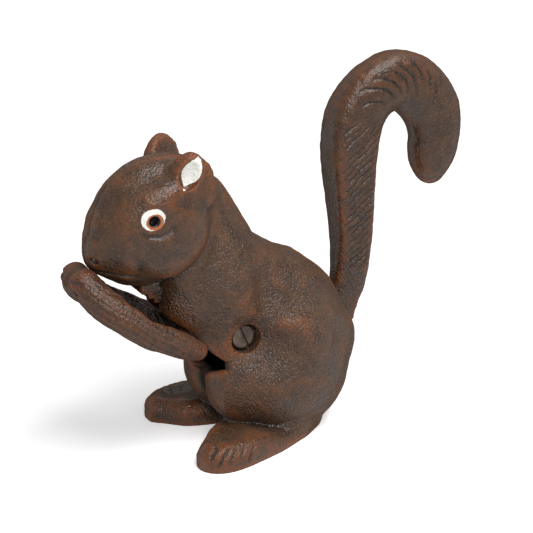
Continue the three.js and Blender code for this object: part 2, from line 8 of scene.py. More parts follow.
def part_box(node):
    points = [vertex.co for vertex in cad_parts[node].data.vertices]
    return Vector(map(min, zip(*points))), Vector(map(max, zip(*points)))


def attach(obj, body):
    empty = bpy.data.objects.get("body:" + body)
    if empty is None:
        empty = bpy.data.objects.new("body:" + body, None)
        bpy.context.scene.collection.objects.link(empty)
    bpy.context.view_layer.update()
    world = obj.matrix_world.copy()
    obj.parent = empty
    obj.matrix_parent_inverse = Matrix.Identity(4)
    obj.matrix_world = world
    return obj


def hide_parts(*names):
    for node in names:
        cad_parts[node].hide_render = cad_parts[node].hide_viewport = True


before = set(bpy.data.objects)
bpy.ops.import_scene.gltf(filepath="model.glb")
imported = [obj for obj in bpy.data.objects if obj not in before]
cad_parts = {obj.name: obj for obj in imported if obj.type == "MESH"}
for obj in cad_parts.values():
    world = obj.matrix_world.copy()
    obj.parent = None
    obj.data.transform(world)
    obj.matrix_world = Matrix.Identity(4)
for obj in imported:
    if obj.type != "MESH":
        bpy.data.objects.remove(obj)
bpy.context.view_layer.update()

# The forms are worked out in millimetres in the casting pattern's own frame, then set in place.
pivot = {"x": -21.0, "z": 52.0}  # screw axis in the pattern's frame
screwLow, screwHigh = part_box("pivot_screw")
shiftX = (screwLow.x + screwHigh.x) * 500 - pivot["x"]  # pattern frame to the model's frame
print("frame loaded, pattern shifted by", round(shiftX, 2), "mm")


# Curves and distances

def curvePoint(points, t):  # a centripetal spline through the points
    count = len(points)
    place = (count - 1) * t
    i = min(int(math.floor(place)), count - 2)
    w = place - i
    p1, p2 = points[i], points[i + 1]
    p0 = points[i - 1] if i > 0 else 2 * points[0] - points[1]
    p3 = points[i + 2] if i + 2 < count else 2 * points[-1] - points[-2]
    d0, d1, d2 = (np.sqrt(np.linalg.norm(b - a)) for a, b in ((p0, p1), (p1, p2), (p2, p3)))
    d1 = d1 if d1 > 1e-4 else 1.0
    d0 = d0 if d0 > 1e-4 else d1
    d2 = d2 if d2 > 1e-4 else d1
    t1 = ((p1 - p0) / d0 - (p2 - p0) / (d0 + d1) + (p2 - p1) / d1) * d1
    t2 = ((p2 - p1) / d1 - (p3 - p1) / (d1 + d2) + (p3 - p2) / d2) * d1
    return p1 + t1 * w + (-3 * p1 + 3 * p2 - 2 * t1 - t2) * w * w + (2 * p1 - 2 * p2 + t1 + t2) * w ** 3


def spline(rows, count):
    points = [np.array(row, float) for row in rows]
    return np.array([curvePoint(points, t) for t in np.linspace(0, 1, count)])


def smoothMin(a, b, reach):
    share = np.maximum(reach - np.abs(a - b), 0) / reach
    return np.minimum(a, b) - share * share * reach / 4


def smoothMax(a, b, reach):
    return -smoothMin(-a, -b, reach)


def smoothStep(value, start, end):
    t = np.clip((value - start) / (end - start), 0, 1)
    return t * t * (3 - 2 * t)


def roundDepth(offsets, halves):
    near = np.sqrt(sum((o / h) ** 2 for o, h in zip(offsets, halves)))
    steep = np.sqrt(sum((o / (h * h)) ** 2 for o, h in zip(offsets, halves)))
    return near * (near - 1) / np.maximum(steep, 1e-6)


def squareDepth(off, y, radius, breadth, power):  # like a round, but squarer in section
    u, v = np.abs(off) / radius, np.abs(y) / breadth
    near = np.maximum((u ** power + v ** power) ** (1 / power), 1e-4)
    steep = np.hypot((u / near) ** (power - 1) / radius, (v / near) ** (power - 1) / breadth)
    return (near - 1) / np.maximum(steep, 1e-3)


def chainDepth(p, rows):  # rows of x, z, radius, half breadth and power
    # Gives the depth, the place along the chain and the offset to the side.
    x, y, z = p
    depth = np.full(x.shape, 1e3, np.float32)
    along = np.zeros(x.shape, np.float32)
    side = np.zeros(x.shape, np.float32)
    run = 0.0
    for a, b in zip(rows[:-1], rows[1:]):
        dx, dz = b[0] - a[0], b[1] - a[1]
        length = math.hypot(dx, dz)
        t = np.clip(((x - a[0]) * dx + (z - a[1]) * dz) / length ** 2, 0, 1)
        ox, oz = x - a[0] - t * dx, z - a[1] - t * dz
        off = np.hypot(ox, oz)
        radius = a[2] + (b[2] - a[2]) * t
        breadth = a[3] + (b[3] - a[3]) * t
        if len(a) > 4:
            here = squareDepth(off, y, radius, breadth, a[4])
        else:
            here = roundDepth((off, y), (radius, breadth))
        better = here < depth
        depth = np.where(better, here, depth)
        along = np.where(better, run + t * length, along)
        side = np.where(better, (oz * dx - ox * dz) / length / radius, side)
        run += length
    return depth, along, side


def capsuleDepth(p, rows):  # rows of x, y, z, radius
    depth = np.full(p[0].shape, 1e3, np.float32)
    for a, b in zip(rows[:-1], rows[1:]):
        d = b[:3] - a[:3]
        t = np.clip(sum((c - ca) * cd for c, ca, cd in zip(p, a, d)) / max((d @ d), 1e-6), 0, 1)
        gap = np.sqrt(sum((c - ca - t * cd) ** 2 for c, ca, cd in zip(p, a, d)))
        depth = np.minimum(depth, gap - a[3] - (b[3] - a[3]) * t)
    return depth


def polygonDepth(x, y, points):  # signed distance to a closed outline, negative inside
    gap = np.full(x.shape, 1e9, np.float32)
    inside = np.zeros(x.shape, bool)
    for (ax, ay), (bx, by) in zip(points, np.roll(points, -1, axis=0)):
        ex, ey = bx - ax, by - ay
        t = np.clip(((x - ax) * ex + (y - ay) * ey) / (ex * ex + ey * ey), 0, 1)
        gap = np.minimum(gap, (x - ax - t * ex) ** 2 + (y - ay - t * ey) ** 2)
        crosses = (ay > y) != (by > y)
        inside ^= crosses & (x < (bx - ax) * (y - ay) / (by - ay + 1e-12) + ax)
    return np.where(inside, -1, 1) * np.sqrt(gap)


def lineGap(x, z, points):  # distance to a line drawn on the side view, and the share of the way along it
    gap = np.full(x.shape, 1e9, np.float32)
    share = np.zeros(x.shape, np.float32)
    count = len(points) - 1
    for i in range(count):
        (ax, az), (bx, bz) = points[i], points[i + 1]
        t = np.clip(((x - ax) * (bx - ax) + (z - az) * (bz - az)) / ((bx - ax) ** 2 + (bz - az) ** 2), 0, 1)
        here = np.hypot(x - ax - t * (bx - ax), z - az - t * (bz - az))
        share = np.where(here < gap, (i + t) / count, share)
        gap = np.minimum(gap, here)
    return gap, share


def groove(x, z, points, width, deep):  # a chiselled stroke that fades at both ends
    gap, share = lineGap(x, z, points)
    return deep * np.exp(-(gap / width) ** 2) * (1 - (2 * share - 1) ** 4)


def lumps(p, size, seed):  # slow unevenness of a sand casting, about -1 to 1
    rng = np.random.default_rng(seed)
    total = np.zeros(p[0].shape, np.float32)
    for _ in range(7):
        way = rng.normal(size=3)
        way *= 2 * math.pi / (np.linalg.norm(way) * size * rng.uniform(0.7, 1.4))
        total += np.sin(p[0] * way[0] + p[1] * way[1] + p[2] * way[2] + rng.uniform(0, 6.28))
    return total / 4


def unevenSkin(p, depth, rows):
    for height, size, seed in rows:
        depth = depth + height * lumps(p, size, seed)
    return depth


# The squirrel's body. Masses hold a place and half sizes, then boxiness across and lean of the sides.

body = {
    "height": 137.0, "width": 70.0, "wall": 6.0, "seam": 0.16,
    "trunkBlend": 9.0, "hollowBlend": 5.0, "creaseBlend": 1.7,
    "trunk": [(0.05, 0.206, 0.224, 0.4), (0.029, 0.277, 0.263, 0.4), (0.004, 0.365, 0.25, 0.37),
              (-0.078, 0.447, 0.212, 0.345), (-0.209, 0.564, 0.194, 0.308), (-0.258, 0.661, 0.187, 0.25),
              (-0.308, 0.757, 0.183, 0.225)],
    "head": [(-0.365, 0.82, 0.178, 0.25), (-0.418, 0.795, 0.194, 0.235), (-0.455, 0.74, 0.162, 0.25),
             (-0.562, 0.71, 0.084, 0.15)],
    "belly": (-0.088, 0, 0.19, 0.142, 0.343, 0.13, 2, 0),
    "rump": (0.023, 0.257, 0.232, 0.2, 0.22, 0.205, 2, 0),
    "back": (0.1, 0.15, 0.3, 0.186, 0.24, 0.146, 2, 0), "backBlend": 4.0,
    "front": [(-0.31, 0.1, 0.49, 0.1, 0.16, 0.1, 2, 0), (-0.182, 0.15, 0.365, 0.1, 0.148, 0.15, 2, 0),
              (-0.166, 0.175, 0.2, 0.09, 0.17, 0.125, 2.6, 0)],
    "thigh": (0.011, 0.22, 0.307, 0.155, 0.257, 0.155, 3.2, 0),
    "cheek": (-0.42, 0.125, 0.777, 0.16, 0.196, 0.153, 3.2, 0.22),
    "lapFloor": 31.0, "lapBack": -26.0, "lapTop": (-29.5, 39.5, 0.65),
    "lapGroove": (-0.272, 0, 0.16, 0.055, 0.065, 0.14, 2, 0),
    "hollows": [(-0.088, 0.4, 0.575, 0.05, 0.13, 0.14, 2, 0), (0.035, 0.47, 0.515, 0.12, 0.145, 0.055, 2, 0),
                (-0.15, 0.44, 0.385, 0.08, 0.125, 0.08, 2, 0)],
    "chestCut": [(-58, 82), (-60.5, 76), (-59, 70), (-53.4, 64), (-44.7, 57.7), (-38, 50.7), (-34.8, 45.8),
                 (-31.2, 41.1), (-34.9, 40.3), (-41, 40), (-49.3, 39.7), (-64, 41), (-84, 62), (-68, 79)],
    "hubRadius": 10.5, "hubClear": 0.6, "slotHalf": 4.5, "boreRadius": 3.3,
    "recessRadius": 6.9, "recessFloor": 15.0, "bossRadius": 10.5,
    "dishRadius": 7.6, "dishSide": 21.6,  # the funnel that the recess sits in
    "pegs": [(-58.9, 109.6), (4.1, 13.7), (-17.8, 82.2)], "pegRadius": 2.4, "pegLength": 4.0,
    "pegBoss": 5.0, "pegRoom": 0.3,
    "anvil": [(-65.3, 78.6), (-50.0, 66.0)], "anvilHalf": 6.5, "anvilTop": 85.0, "teeth": 5,
    "toothDepth": 1.3,
    "openTurn": 28.0,
    "frontSlots": [(24, 148, 216), (42, 148, 195)], "backSlot": (90, -16, 13),  # reach and angles, closed
    "legCleft": (-34.5, 0, 3, 11.5, 9, 15),
    "uneven": [(0.22, 17, 3), (0.1, 6.5, 8), (0.03, 2.4, 12)],  # height, length and seed of the waves
}
tall, wide = body["height"], body["width"]
trunkRows = spline(body["trunk"], 25) * np.array([tall, tall, tall, wide])
headRows = spline(body["head"], 13) * np.array([tall, tall, tall, wide])


def massDepth(p, row):
    x0, y0, z0, a, b, c, power, lean = row
    x, z = p[0] - x0 * tall, p[2] - z0 * tall
    y = np.abs(p[1]) - y0 * wide - lean * np.minimum(x, 0)
    a, b, c = a * tall, b * wide, c * tall
    flat, thick = np.maximum(np.hypot(x / a, z / c), 1e-4), np.abs(y) / b
    near = (flat ** power + thick ** power) ** (1 / power)
    slope = np.hypot(x / a ** 2, z / c ** 2) / flat
    steep = np.hypot((flat / near) ** (power - 1) * slope, (thick / near) ** (power - 1) / b)
    return (near - 1) / np.maximum(steep, 1e-3)


def formDepth(p):  # the plain form, as the solids have it
    torso = smoothMin(chainDepth(p, trunkRows)[0], massDepth(p, body["belly"]), body["trunkBlend"])
    torso = smoothMin(torso, massDepth(p, body["rump"]), body["trunkBlend"])
    torso = smoothMin(torso, massDepth(p, body["back"]), body["backBlend"])
    for row in body["front"]:
        torso = smoothMin(torso, massDepth(p, row), body["hollowBlend"])
    for row in body["hollows"]:
        torso = smoothMax(torso, -massDepth(p, row), body["hollowBlend"])
    seat = smoothMin(torso, massDepth(p, body["thigh"]), body["creaseBlend"])
    # The cheek runs out softly into the brow and the muzzle.
    easy = np.maximum(smoothStep(p[2], 98, 112), smoothStep(p[0], -66, -76))
    skull = smoothMin(chainDepth(p, headRows)[0], massDepth(p, body["cheek"]), body["creaseBlend"] + 5 * easy)
    return smoothMin(seat, skull, body["creaseBlend"])


def lumpAt(p, x, y, z, a, b, c):
    return roundDepth((p[0] - x, np.abs(p[1]) - y, p[2] - z), (a, b, c))


foot = {
    "length": 71.0, "spread": 42.0, "height": 11.2, "heel": 19.0, "round": 7.0,
    "toeIn": 8.0, "toeBack": -0.2,  # the far foot is turned in further
    "outline": [(0.972, 0.667), (0.979, 0.81), (0.944, 0.924), (0.869, 0.993), (0.775, 1), (0.521, 0.893),
                (0.239, 0.698), (0.099, 0.536), (-0.014, 0.333), (0.085, 0.095), (0.408, 0.05),
                (0.634, 0.143), (0.803, 0.333), (0.901, 0.5)],
    "heelDrop": 4.5, "dish": (-35.0, 25.0, 18.6, 15.0, 10.0, 9.4),
    "toes": [[(-43.4, 11.1), (-46.4, 8.7), (-48.4, 5.4)], [(-38.6, 11.0), (-43.0, 7.4), (-45.8, 2.6)],
             [(-34.6, 10.6), (-38.5, 7.4), (-41.2, 3.6)], [(-30.7, 9.9), (-33.2, 7.7), (-35.6, 5.0)],
             [(-26.4, 8.9), (-28.7, 6.2), (-31.1, 3.0)]],
    "toeWidth": 0.5, "toeDepth": 0.75,
}


def footOutline(side):
    pull = 1 if side > 0 else 0
    rows = []
    for x, y in foot["outline"]:
        ahead = pull * float(smoothStep(x, 0.5, 1))
        rows.append((foot["heel"] - x * foot["length"] + ahead * foot["toeBack"],
                     (y * foot["spread"] - ahead * foot["toeIn"]) * side))
    closed = rows[-2:] + rows + rows[:2]
    fine = spline(closed, (len(closed) - 1) * 4 + 1)
    return fine[8:-8 - 4]


def toeLines(p):  # short strokes down the front of the toes
    strokes = sum(groove(p[0], p[2], stroke, foot["toeWidth"], foot["toeDepth"]) for stroke in foot["toes"])
    return strokes * (np.abs(p[1]) > 27)


def footDepth(p, side):
    low = p[2] < foot["height"] + 14
    depth = np.full(p[0].shape, 30.0, np.float32)
    x, y, z = (c[low] for c in p)
    outline = polygonDepth(x, y, footOutline(side))
    r = foot["round"]
    top = foot["height"] - r - foot["heelDrop"] * smoothStep(x, -30, 0)
    u, v = outline + r, z - top
    near = np.hypot(np.maximum(u, 0), np.maximum(v, 0)) + np.minimum(np.maximum(u, v), 0) - r
    near = smoothMax(near, -lumpAt((x, y, z), *foot["dish"]), 2.0)
    near = near + toeLines((x, y, z))
    depth[low] = near
    return depth


face = {
    "brow": [(-62, 14.4, 120, 2.8), (-50, 14.4, 125.5, 3.6)], "browBlend": 7.0,
    "bridge": [(-79.6, 3.5, 110, 5.0), (-80.6, 3.5, 104, 5.8)],
    "socket": (-63.5, 25.6, 113.8, 9.2, 5.2, 7.4), "eyeball": (-63.6, 16.3, 114.5, 6.6, 4.4, 5.2),
    "lid": [(-69.3, 17.8, 112.2, 0.9), (-65.5, 18.9, 109.6, 1.5), (-60.8, 18.9, 109.9, 1.6),
            (-57.4, 18.2, 113.2, 1.0)],
    "lidCrease": [(-71, 110.6), (-66.4, 107.9), (-61.2, 107.3), (-57.0, 109.3), (-54.9, 113)],
    "mouth": [(-87, 91.4), (-79, 89.4), (-73.4, 88.7), (-69.0, 89.0)],
    "padEdge": [(-69.8, 89.6), (-69.3, 92.2), (-69.9, 95.6), (-72.0, 99.2), (-75.5, 101.2)],
    "jaw": [(-81, 87.6), (-72, 84.6), (-64, 83.6)],
    "nostril": (-86.2, 5.4, 95.6, 2.2, 1.6, 1.3), "pupilRadius": 2.2, "pupilFloor": 18.2,
    "eye": (-64.0, 114.4),
    "earFront": [(-46.5, 12, 121, 8.5), (-46.3, 12.5, 128, 8), (-45, 13.6, 133.5, 6.5),
                 (-44.2, 14.9, 137.2, 3.9)],
    "earBack": [(-40, 13, 120, 7.5), (-38.4, 12.6, 127, 6.8), (-39.2, 14, 133, 5.2), (-41, 14.6, 136.8, 3.2)],
    "earPlace": (-46.2, 19.8, 132.3), "earTurn": 27.0, "earTip": -9.0, "earLean": 28.0,
    "earHollow": (4.8, 3.4, 8.0), "earThick": 9.0,
}


def earDepth(p, side):
    depth = None
    for rows in (face["earFront"], face["earBack"]):
        rows = spline(rows, 7)
        rows[:, 1] *= side
        here = capsuleDepth(p, rows)
        depth = here if depth is None else smoothMin(depth, here, 2.0)
    out = earOffsets(p, side)[1] * side
    return smoothMax(depth, np.abs(out + face["earThick"] / 2 - 1.2) - face["earThick"] / 2, 2.5)


def earOffsets(p, side):  # offsets from the middle of the ear's hollow: across it, outwards and along it
    x, y, z = face["earPlace"]
    turn, tip, lean = (math.radians(face[key]) for key in ("earTurn", "earTip", "earLean"))
    dx, dy, dz = p[0] - x, p[1] - y * side, p[2] - z
    u, v = dx * math.cos(turn) + dy * side * math.sin(turn), dy * math.cos(turn) - dx * side * math.sin(turn)
    v, w = v * math.cos(tip) + dz * side * math.sin(tip), dz * math.cos(tip) - v * side * math.sin(tip)
    return u * math.cos(lean) - w * math.sin(lean), v, u * math.sin(lean) + w * math.cos(lean)


def carvedLines(p):  # creases about the eye and the mouth
    x, z, ay = p[0], p[2], np.abs(p[1])
    lines = groove(x, z, face["lidCrease"], 1.1, 0.9) * (ay > 8)
    lines = lines + groove(x, z, face["mouth"], 0.7, 1.1) * smoothStep(ay, 0.5, 3)
    lines = lines + groove(x, z, face["padEdge"], 1.9, 0.45) * smoothStep(ay, 2, 5)
    return lines + groove(x, z, face["jaw"], 1.4, 0.4)


def bodyDepth(p, side):
    x, y, z = p
    ay = np.abs(y)
    mirrored = (x, ay, z)
    depth = formDepth(p)
    depth = smoothMin(depth, capsuleDepth(mirrored, np.array(face["brow"])), face["browBlend"])
    depth = smoothMin(depth, capsuleDepth(mirrored, np.array(face["bridge"])), 4.0)
    depth = smoothMax(depth, -lumpAt(p, *face["socket"]), 3.0)
    depth = smoothMin(depth, lumpAt(p, *face["eyeball"]), 0.8)
    depth = smoothMin(depth, capsuleDepth(mirrored, np.array(face["lid"])), 1.0)
    depth = depth + carvedLines(p)
    depth = smoothMin(depth, earDepth(p, side), 2.5)
    depth = smoothMax(depth, -lumpAt(p, *body["legCleft"]), 3.0)
    crease = 2.2 + 6 * smoothStep(x, -14, 6)  # fades to the heel
    depth = smoothMin(depth, footDepth(p, side), crease)
    depth = smoothMax(depth, -roundDepth(earOffsets(p, side), face["earHollow"]), 0.8)
    eyeX, eyeZ = face["eye"]
    pupil = np.hypot(x - eyeX, z - eyeZ) - face["pupilRadius"]
    depth = smoothMax(depth, -(pupil + np.maximum(face["pupilFloor"] - ay, 0)), 0.5)
    depth = smoothMax(depth, -lumpAt(p, *face["nostril"]), 1.0)
    return unevenSkin(p, depth, body["uneven"])


def sectorDepth(p, reach, start, end):  # a slice of a disc about the pivot
    dx, dz = p[0] - pivot["x"], p[2] - pivot["z"]
    a, b = math.radians(start), math.radians(end)
    fromStart = dx * math.sin(a) - dz * math.cos(a)
    fromEnd = -dx * math.sin(b) + dz * math.cos(b)
    return np.maximum.reduce([fromStart, fromEnd, np.hypot(dx, dz) - reach, np.abs(p[1]) - body["slotHalf"]])


def rodDepth(p, x, z, radius, low, high):
    return np.maximum.reduce([np.hypot(p[0] - x, p[2] - z) - radius, low - p[1], p[1] - high])


def anvilDepth(p):
    front, back = body["anvil"]
    dx, dz = back[0] - front[0], back[1] - front[1]
    length = math.hypot(dx, dz)
    along = ((p[0] - front[0]) * dx + (p[2] - front[1]) * dz) / length
    above = -((p[0] - front[0]) * dz - (p[2] - front[1]) * dx) / length
    saw = np.abs(2 * (along / length * body["teeth"] % 1) - 1) - 1
    sides = np.abs(p[1]) - body["anvilHalf"]
    return np.maximum.reduce([body["toothDepth"] * saw - above, front[0] - p[0], p[0] - back[0], sides,
                              p[2] - body["anvilTop"]])


def halfDepth(p, side):
    x, y, z = p
    ay = np.abs(y)
    axis = np.hypot(x - pivot["x"], z - pivot["z"])
    above = ay - body["dishSide"]
    dish = np.maximum((axis - body["dishRadius"] - 1.3 * above) * 0.6, -above)
    form = smoothMax(formDepth(p), -dish, 3.5)
    depth = smoothMax(smoothMax(bodyDepth(p, side), -dish, 3.5), -(form + body["wall"]), 1.0)
    bosses = [(px, pz, body["pegBoss"]) for px, pz in body["pegs"]]
    for bx, bz, radius in [(pivot["x"], pivot["z"], body["bossRadius"])] + bosses:
        depth = smoothMin(depth, np.maximum(np.hypot(x - bx, z - bz) - radius, form + 2), 1.5)
    depth = smoothMax(depth, -polygonDepth(x, z, np.array(body["chestCut"], float)), 1.0)
    depth = smoothMin(depth, np.maximum(anvilDepth(p), form - 8), 0.8)
    topX, topZ, slope = body["lapTop"]
    floor = body["lapFloor"] + 0.45 * np.maximum(ay - 2, 0)
    lap = np.maximum.reduce([floor - z, x - body["lapBack"] + 0.2 * ay,
                             z - topZ - 0.1 * ay + slope * (x - topX)])
    depth = smoothMax(depth, -lap, 2.2)
    depth = smoothMax(depth, -massDepth(p, body["lapGroove"]), 3.0)
    turn = body["openTurn"]
    rows = body["frontSlots"] + [body["backSlot"]]
    slots = [sectorDepth(p, reach, start, end + turn) for reach, start, end in rows]
    depth = smoothMax(depth, -np.minimum.reduce(slots), 0.8)
    room, half = body["hubRadius"] + body["hubClear"], body["slotHalf"]
    depth = smoothMax(depth, -rodDepth(p, pivot["x"], pivot["z"], room, -half, half), 0.4)
    depth = np.maximum(depth, body["boreRadius"] - axis)
    depth = smoothMax(depth, -np.maximum(axis - body["recessRadius"], body["recessFloor"] - ay), 0.9)
    widened = smoothStep(x, -17, -23) * smoothStep(z, 35, 30)  # the seam gapes below the lap
    depth = smoothMax(depth, body["seam"] / 2 + widened - side * y, 0.25)
    depth = np.maximum(depth, -z)
    for px, pz in body["pegs"]:
        if side < 0:
            depth = np.minimum(depth, rodDepth(p, px, pz, body["pegRadius"], -4, body["pegLength"]))
        else:
            radius, end = body["pegRadius"] + body["pegRoom"], body["pegLength"] + body["pegRoom"]
            depth = np.maximum(depth, -rodDepth(p, px, pz, radius, -1, end))
    return depth


# The lever: rows of the tail hold shares of its sizes, and its boxiness in section

lever = {
    "webHalf": 3.9, "height": 168.2, "reach": 102.2, "girth": 28.0, "width": 20.6,
    "tail": [(0.06, 0.3, 0.32, 0, 4), (0.25, 0.294, 0.32, 0, 4), (0.35, 0.303, 0.32, 0, 4),
             (0.405, 0.34, 0.31, 0, 4), (0.424, 0.387, 0.305, 0.24, 5), (0.434, 0.482, 0.314, 0.33, 5.5),
             (0.424, 0.612, 0.356, 0.41, 5.5), (0.417, 0.755, 0.43, 0.48, 4),
             (0.448, 0.843, 0.47, 0.5, 2.9), (0.515, 0.893, 0.48, 0.5, 2.4),
             (0.626, 0.921, 0.498, 0.5, 2.3), (0.72, 0.905, 0.508, 0.5, 2.3),
             (0.79, 0.87, 0.508, 0.49, 2.3), (0.848, 0.817, 0.49, 0.47, 2.4),
             (0.866, 0.755, 0.445, 0.45, 2.5), (0.855, 0.697, 0.4, 0.4, 2.5), (0.85, 0.656, 0.28, 0.3, 2.2)],
    "heel": [(33.7, 47), (36.8, 42), (41.9, 40.4), (44.5, 42.9), (47, 55.5), (45, 65.6), (37.8, 57.2)],
    "armReach": 98.0, "armRise": 95.0, "armSpread": 58.0, "armThickness": 13.0,
    "arm": [(-0.47, 0.551, 0.385, 0.33), (-0.53, 0.583, 0.385, 0.43), (-0.62, 0.633, 0.385, 0.48),
            (-0.7, 0.681, 0.37, 0.5), (-0.79, 0.756, 0.31, 0.54), (-0.875, 0.83, 0.2, 0.56),
            (-0.925, 0.903, 0.08, 0.51)],
    "cup": [0.36, 0.4, 0.38, 0.32, 0.22, 0.1], "cupThickness": 12.0, "cupFrom": 0.08,
    "dish": [0.26, 0.38, 0.41, 0.35], "dishFrom": 0.14, "dishTo": 0.6, "dishRaise": 8.2, "dishGirth": 15.4,
    "web": [(-27.4, 46.5), (-27.4, 60), (-43, 57), (-51, 56), (-49, 49.4), (-39, 44.6)],
    "fingers": [((-99.5, -4.5, 84.5), (-92.5, -9.5, 82.5)), ((-99.6, -1.5, 88.6), (-94.5, -10, 88.0)),
                ((-99.5, 4.5, 84.5), (-92.5, 9.5, 82.5)), ((-99.6, 1.5, 88.6), (-94.5, 10, 88.0))],
    "bendStrokes": [  # the deeper curved strokes that fan out round the inside of the bend
        [(41.8, 146.8), (46.4, 148.9), (51.1, 148.6), (56.4, 147.6)],
        [(41.7, 153.0), (45.1, 155.0), (50.9, 154.8), (55.6, 153.7), (59.2, 150.6), (61.6, 148.3)],
        [(48.2, 159.2), (54.3, 158.9), (59.0, 156.8), (62.6, 153.8), (63.3, 149.6)],
        [(57.8, 162.3), (62.4, 160.0), (65.5, 157.0), (66.8, 153.8), (66.9, 149.7)],
        [(61.3, 165.0), (66.5, 161.5), (69.6, 158.1), (71.2, 154.3), (71.3, 149.6)],
        [(69.2, 165.3), (73.0, 161.3), (74.6, 157.5), (74.7, 153.9)],
        [(77.5, 160.5), (79.3, 155.5), (79.0, 149.0)], [(81.7, 155.0), (82.5, 148.7), (80.3, 142.7)]],
    "tipStrokes": [
        [(88.0, 134.3), (84.2, 123.6)], [(89.4, 130.9), (82.0, 118.6)], [(92.0, 141.0), (88.0, 128.0)],
        [(86.0, 145.0), (83.0, 136.0)], [(93.5, 128.0), (88.0, 117.5)]],
    "tilt": 38.0, "spacing": 2.8, "stemCut": 0.34, "bendCut": 0.85, "tipCut": 0.3, "hairCut": 0.3,
    "uneven": [(0.16, 15, 5), (0.08, 6, 9), (0.03, 2.4, 14)],
}


def scaledTail():
    rows = []
    for x, z, radius, half, power in [(0, 0, 0.32, 0, 4)] + lever["tail"]:
        wideHalf = max(lever["webHalf"], half * lever["width"])
        rows.append((x * lever["reach"], z * lever["height"], radius * lever["girth"], wideHalf, power))
    rows[0] = (pivot["x"], pivot["z"]) + rows[0][2:]
    return spline(rows, (len(rows) - 1) * 4 + 1)


tailRows = scaledTail()
armScale = np.array([lever["armReach"], lever["armSpread"], lever["armRise"], lever["armThickness"]])
armTable = np.array([(x, y, z, r) for x, z, y, r in lever["arm"]]) * armScale


def armRows(side):
    rows = spline(armTable, 21)
    rows[:, 1] *= side
    return rows


def troughRows(start, end, raised, thickness, widths):
    line = [np.array((row[0], row[2] + raised)) for row in armTable]
    fine = [curvePoint(line, start + (end - start) * i / 20) for i in range(21)]
    halves = spline([(i, w) for i, w in enumerate(widths)], 21)[:, 1] * lever["armSpread"]
    return np.array([(x, z, thickness / 2, w) for (x, z), w in zip(fine, halves)])


cupRows = troughRows(lever["cupFrom"], 1, 0, lever["cupThickness"], lever["cup"])
dishRows = troughRows(lever["dishFrom"], lever["dishTo"], lever["dishRaise"], lever["dishGirth"],
                      lever["dish"])


def feather(p, along, side):  # carved hair: slanted strokes up the stem, and curved ones round the bend
    x, z = p[0], p[2]
    tilt = math.radians(lever["tilt"])
    across = z * math.cos(tilt) - x * math.sin(tilt)
    across = across + 0.25 * np.sin(x * 0.5 + z * 0.13) + 0.2 * np.sin(z * 0.41)
    which = np.floor(across / lever["spacing"])
    chance = np.sin(which * 12.9898) * 43758.5453 % 1
    other = np.sin(which * 78.233) * 12543.123 % 1
    cut = np.exp(-((across / lever["spacing"] % 1 - 0.5) / (0.15 + 0.07 * other)) ** 2)
    start, end = -0.8 + 0.4 * other, 0.85 - 0.35 * chance
    run = smoothStep(z, 66, 73) * smoothStep(z, 144, 136) * (x < 62)
    stem = cut * smoothStep(-side, start - 0.15, start + 0.1) * smoothStep(-side, end + 0.2, end) * run
    depth = (lever["stemCut"] + 0.5 * chance) * stem
    for stroke in lever["bendStrokes"]:
        depth = depth + groove(x, z, stroke, 0.6, lever["bendCut"])
    for stroke in lever["tipStrokes"]:
        depth = depth + groove(x, z, stroke, 0.4, lever["tipCut"])
    hair = along / 2.7 + 0.5 * np.sin(side * 2.6) + 0.3 * np.sin(along * 0.37)
    patch = np.sin(np.floor(hair) * 5.1 + side * 6) * 0.5 + 0.5
    fine = np.exp(-(hair % 1 - 0.5) ** 2 / 0.025) * patch * smoothStep(along, 150, 175)
    depth = depth + lever["hairCut"] * fine * smoothStep(np.abs(side), 0.95, 0.7)
    return depth * smoothStep(np.abs(p[1]), 2.6, 4.6)


def leverDepth(p):
    x, y, z = p
    tail, along, side = chainDepth(p, tailRows)
    tail = tail + feather(p, along, side)
    hub = rodDepth(p, pivot["x"], pivot["z"], body["hubRadius"], -lever["webHalf"], lever["webHalf"])
    web = np.maximum(polygonDepth(x, z, np.array(lever["web"], float)), np.abs(y) - lever["webHalf"])
    heel = np.maximum(polygonDepth(x, z, np.array(lever["heel"], float)), np.abs(y) - lever["webHalf"])
    cup = chainDepth(p, cupRows)[0]
    for sign in (-1, 1):
        cup = smoothMin(cup, capsuleDepth(p, armRows(sign)), 2.0)
    fur = np.sin(x * 1.5 + z * 2.1 + 0.9 * np.sin(x * 0.35)) * 0.5 + 0.5
    cup = cup + 0.28 * fur ** 3 * smoothStep(np.abs(y), 9, 14) * smoothStep(x, -46, -52)
    ragged = 0.5 * np.sin(x * 0.9 + 0.4 * y) + 0.3 * np.sin(x * 2.1 - 0.3 * y) + 0.5 * np.sin(x * 0.37)
    cup = smoothMax(cup, -(chainDepth(p, dishRows)[0] + 0.5 * ragged), 0.6)
    for a, b in lever["fingers"]:
        cup = smoothMax(cup, -capsuleDepth(p, np.array([(*a, 0.9), (*b, 0.5)])), 1.2)
    depth = np.minimum(smoothMin(tail, hub, 2.0), smoothMin(web, hub, 2.0))
    depth = smoothMin(smoothMin(depth, heel, 2.0), cup, 2.0)
    depth = unevenSkin(p, depth, lever["uneven"])
    thin = (x > -44) & (x < 34) & (z < 66) & (np.abs(y) < 5)
    depth = np.where(thin, np.maximum(depth, np.abs(y) - lever["webHalf"]), depth)
    return np.maximum(depth, body["boreRadius"] - np.hypot(x - pivot["x"], z - pivot["z"]))


# Turning a depth field into a mesh

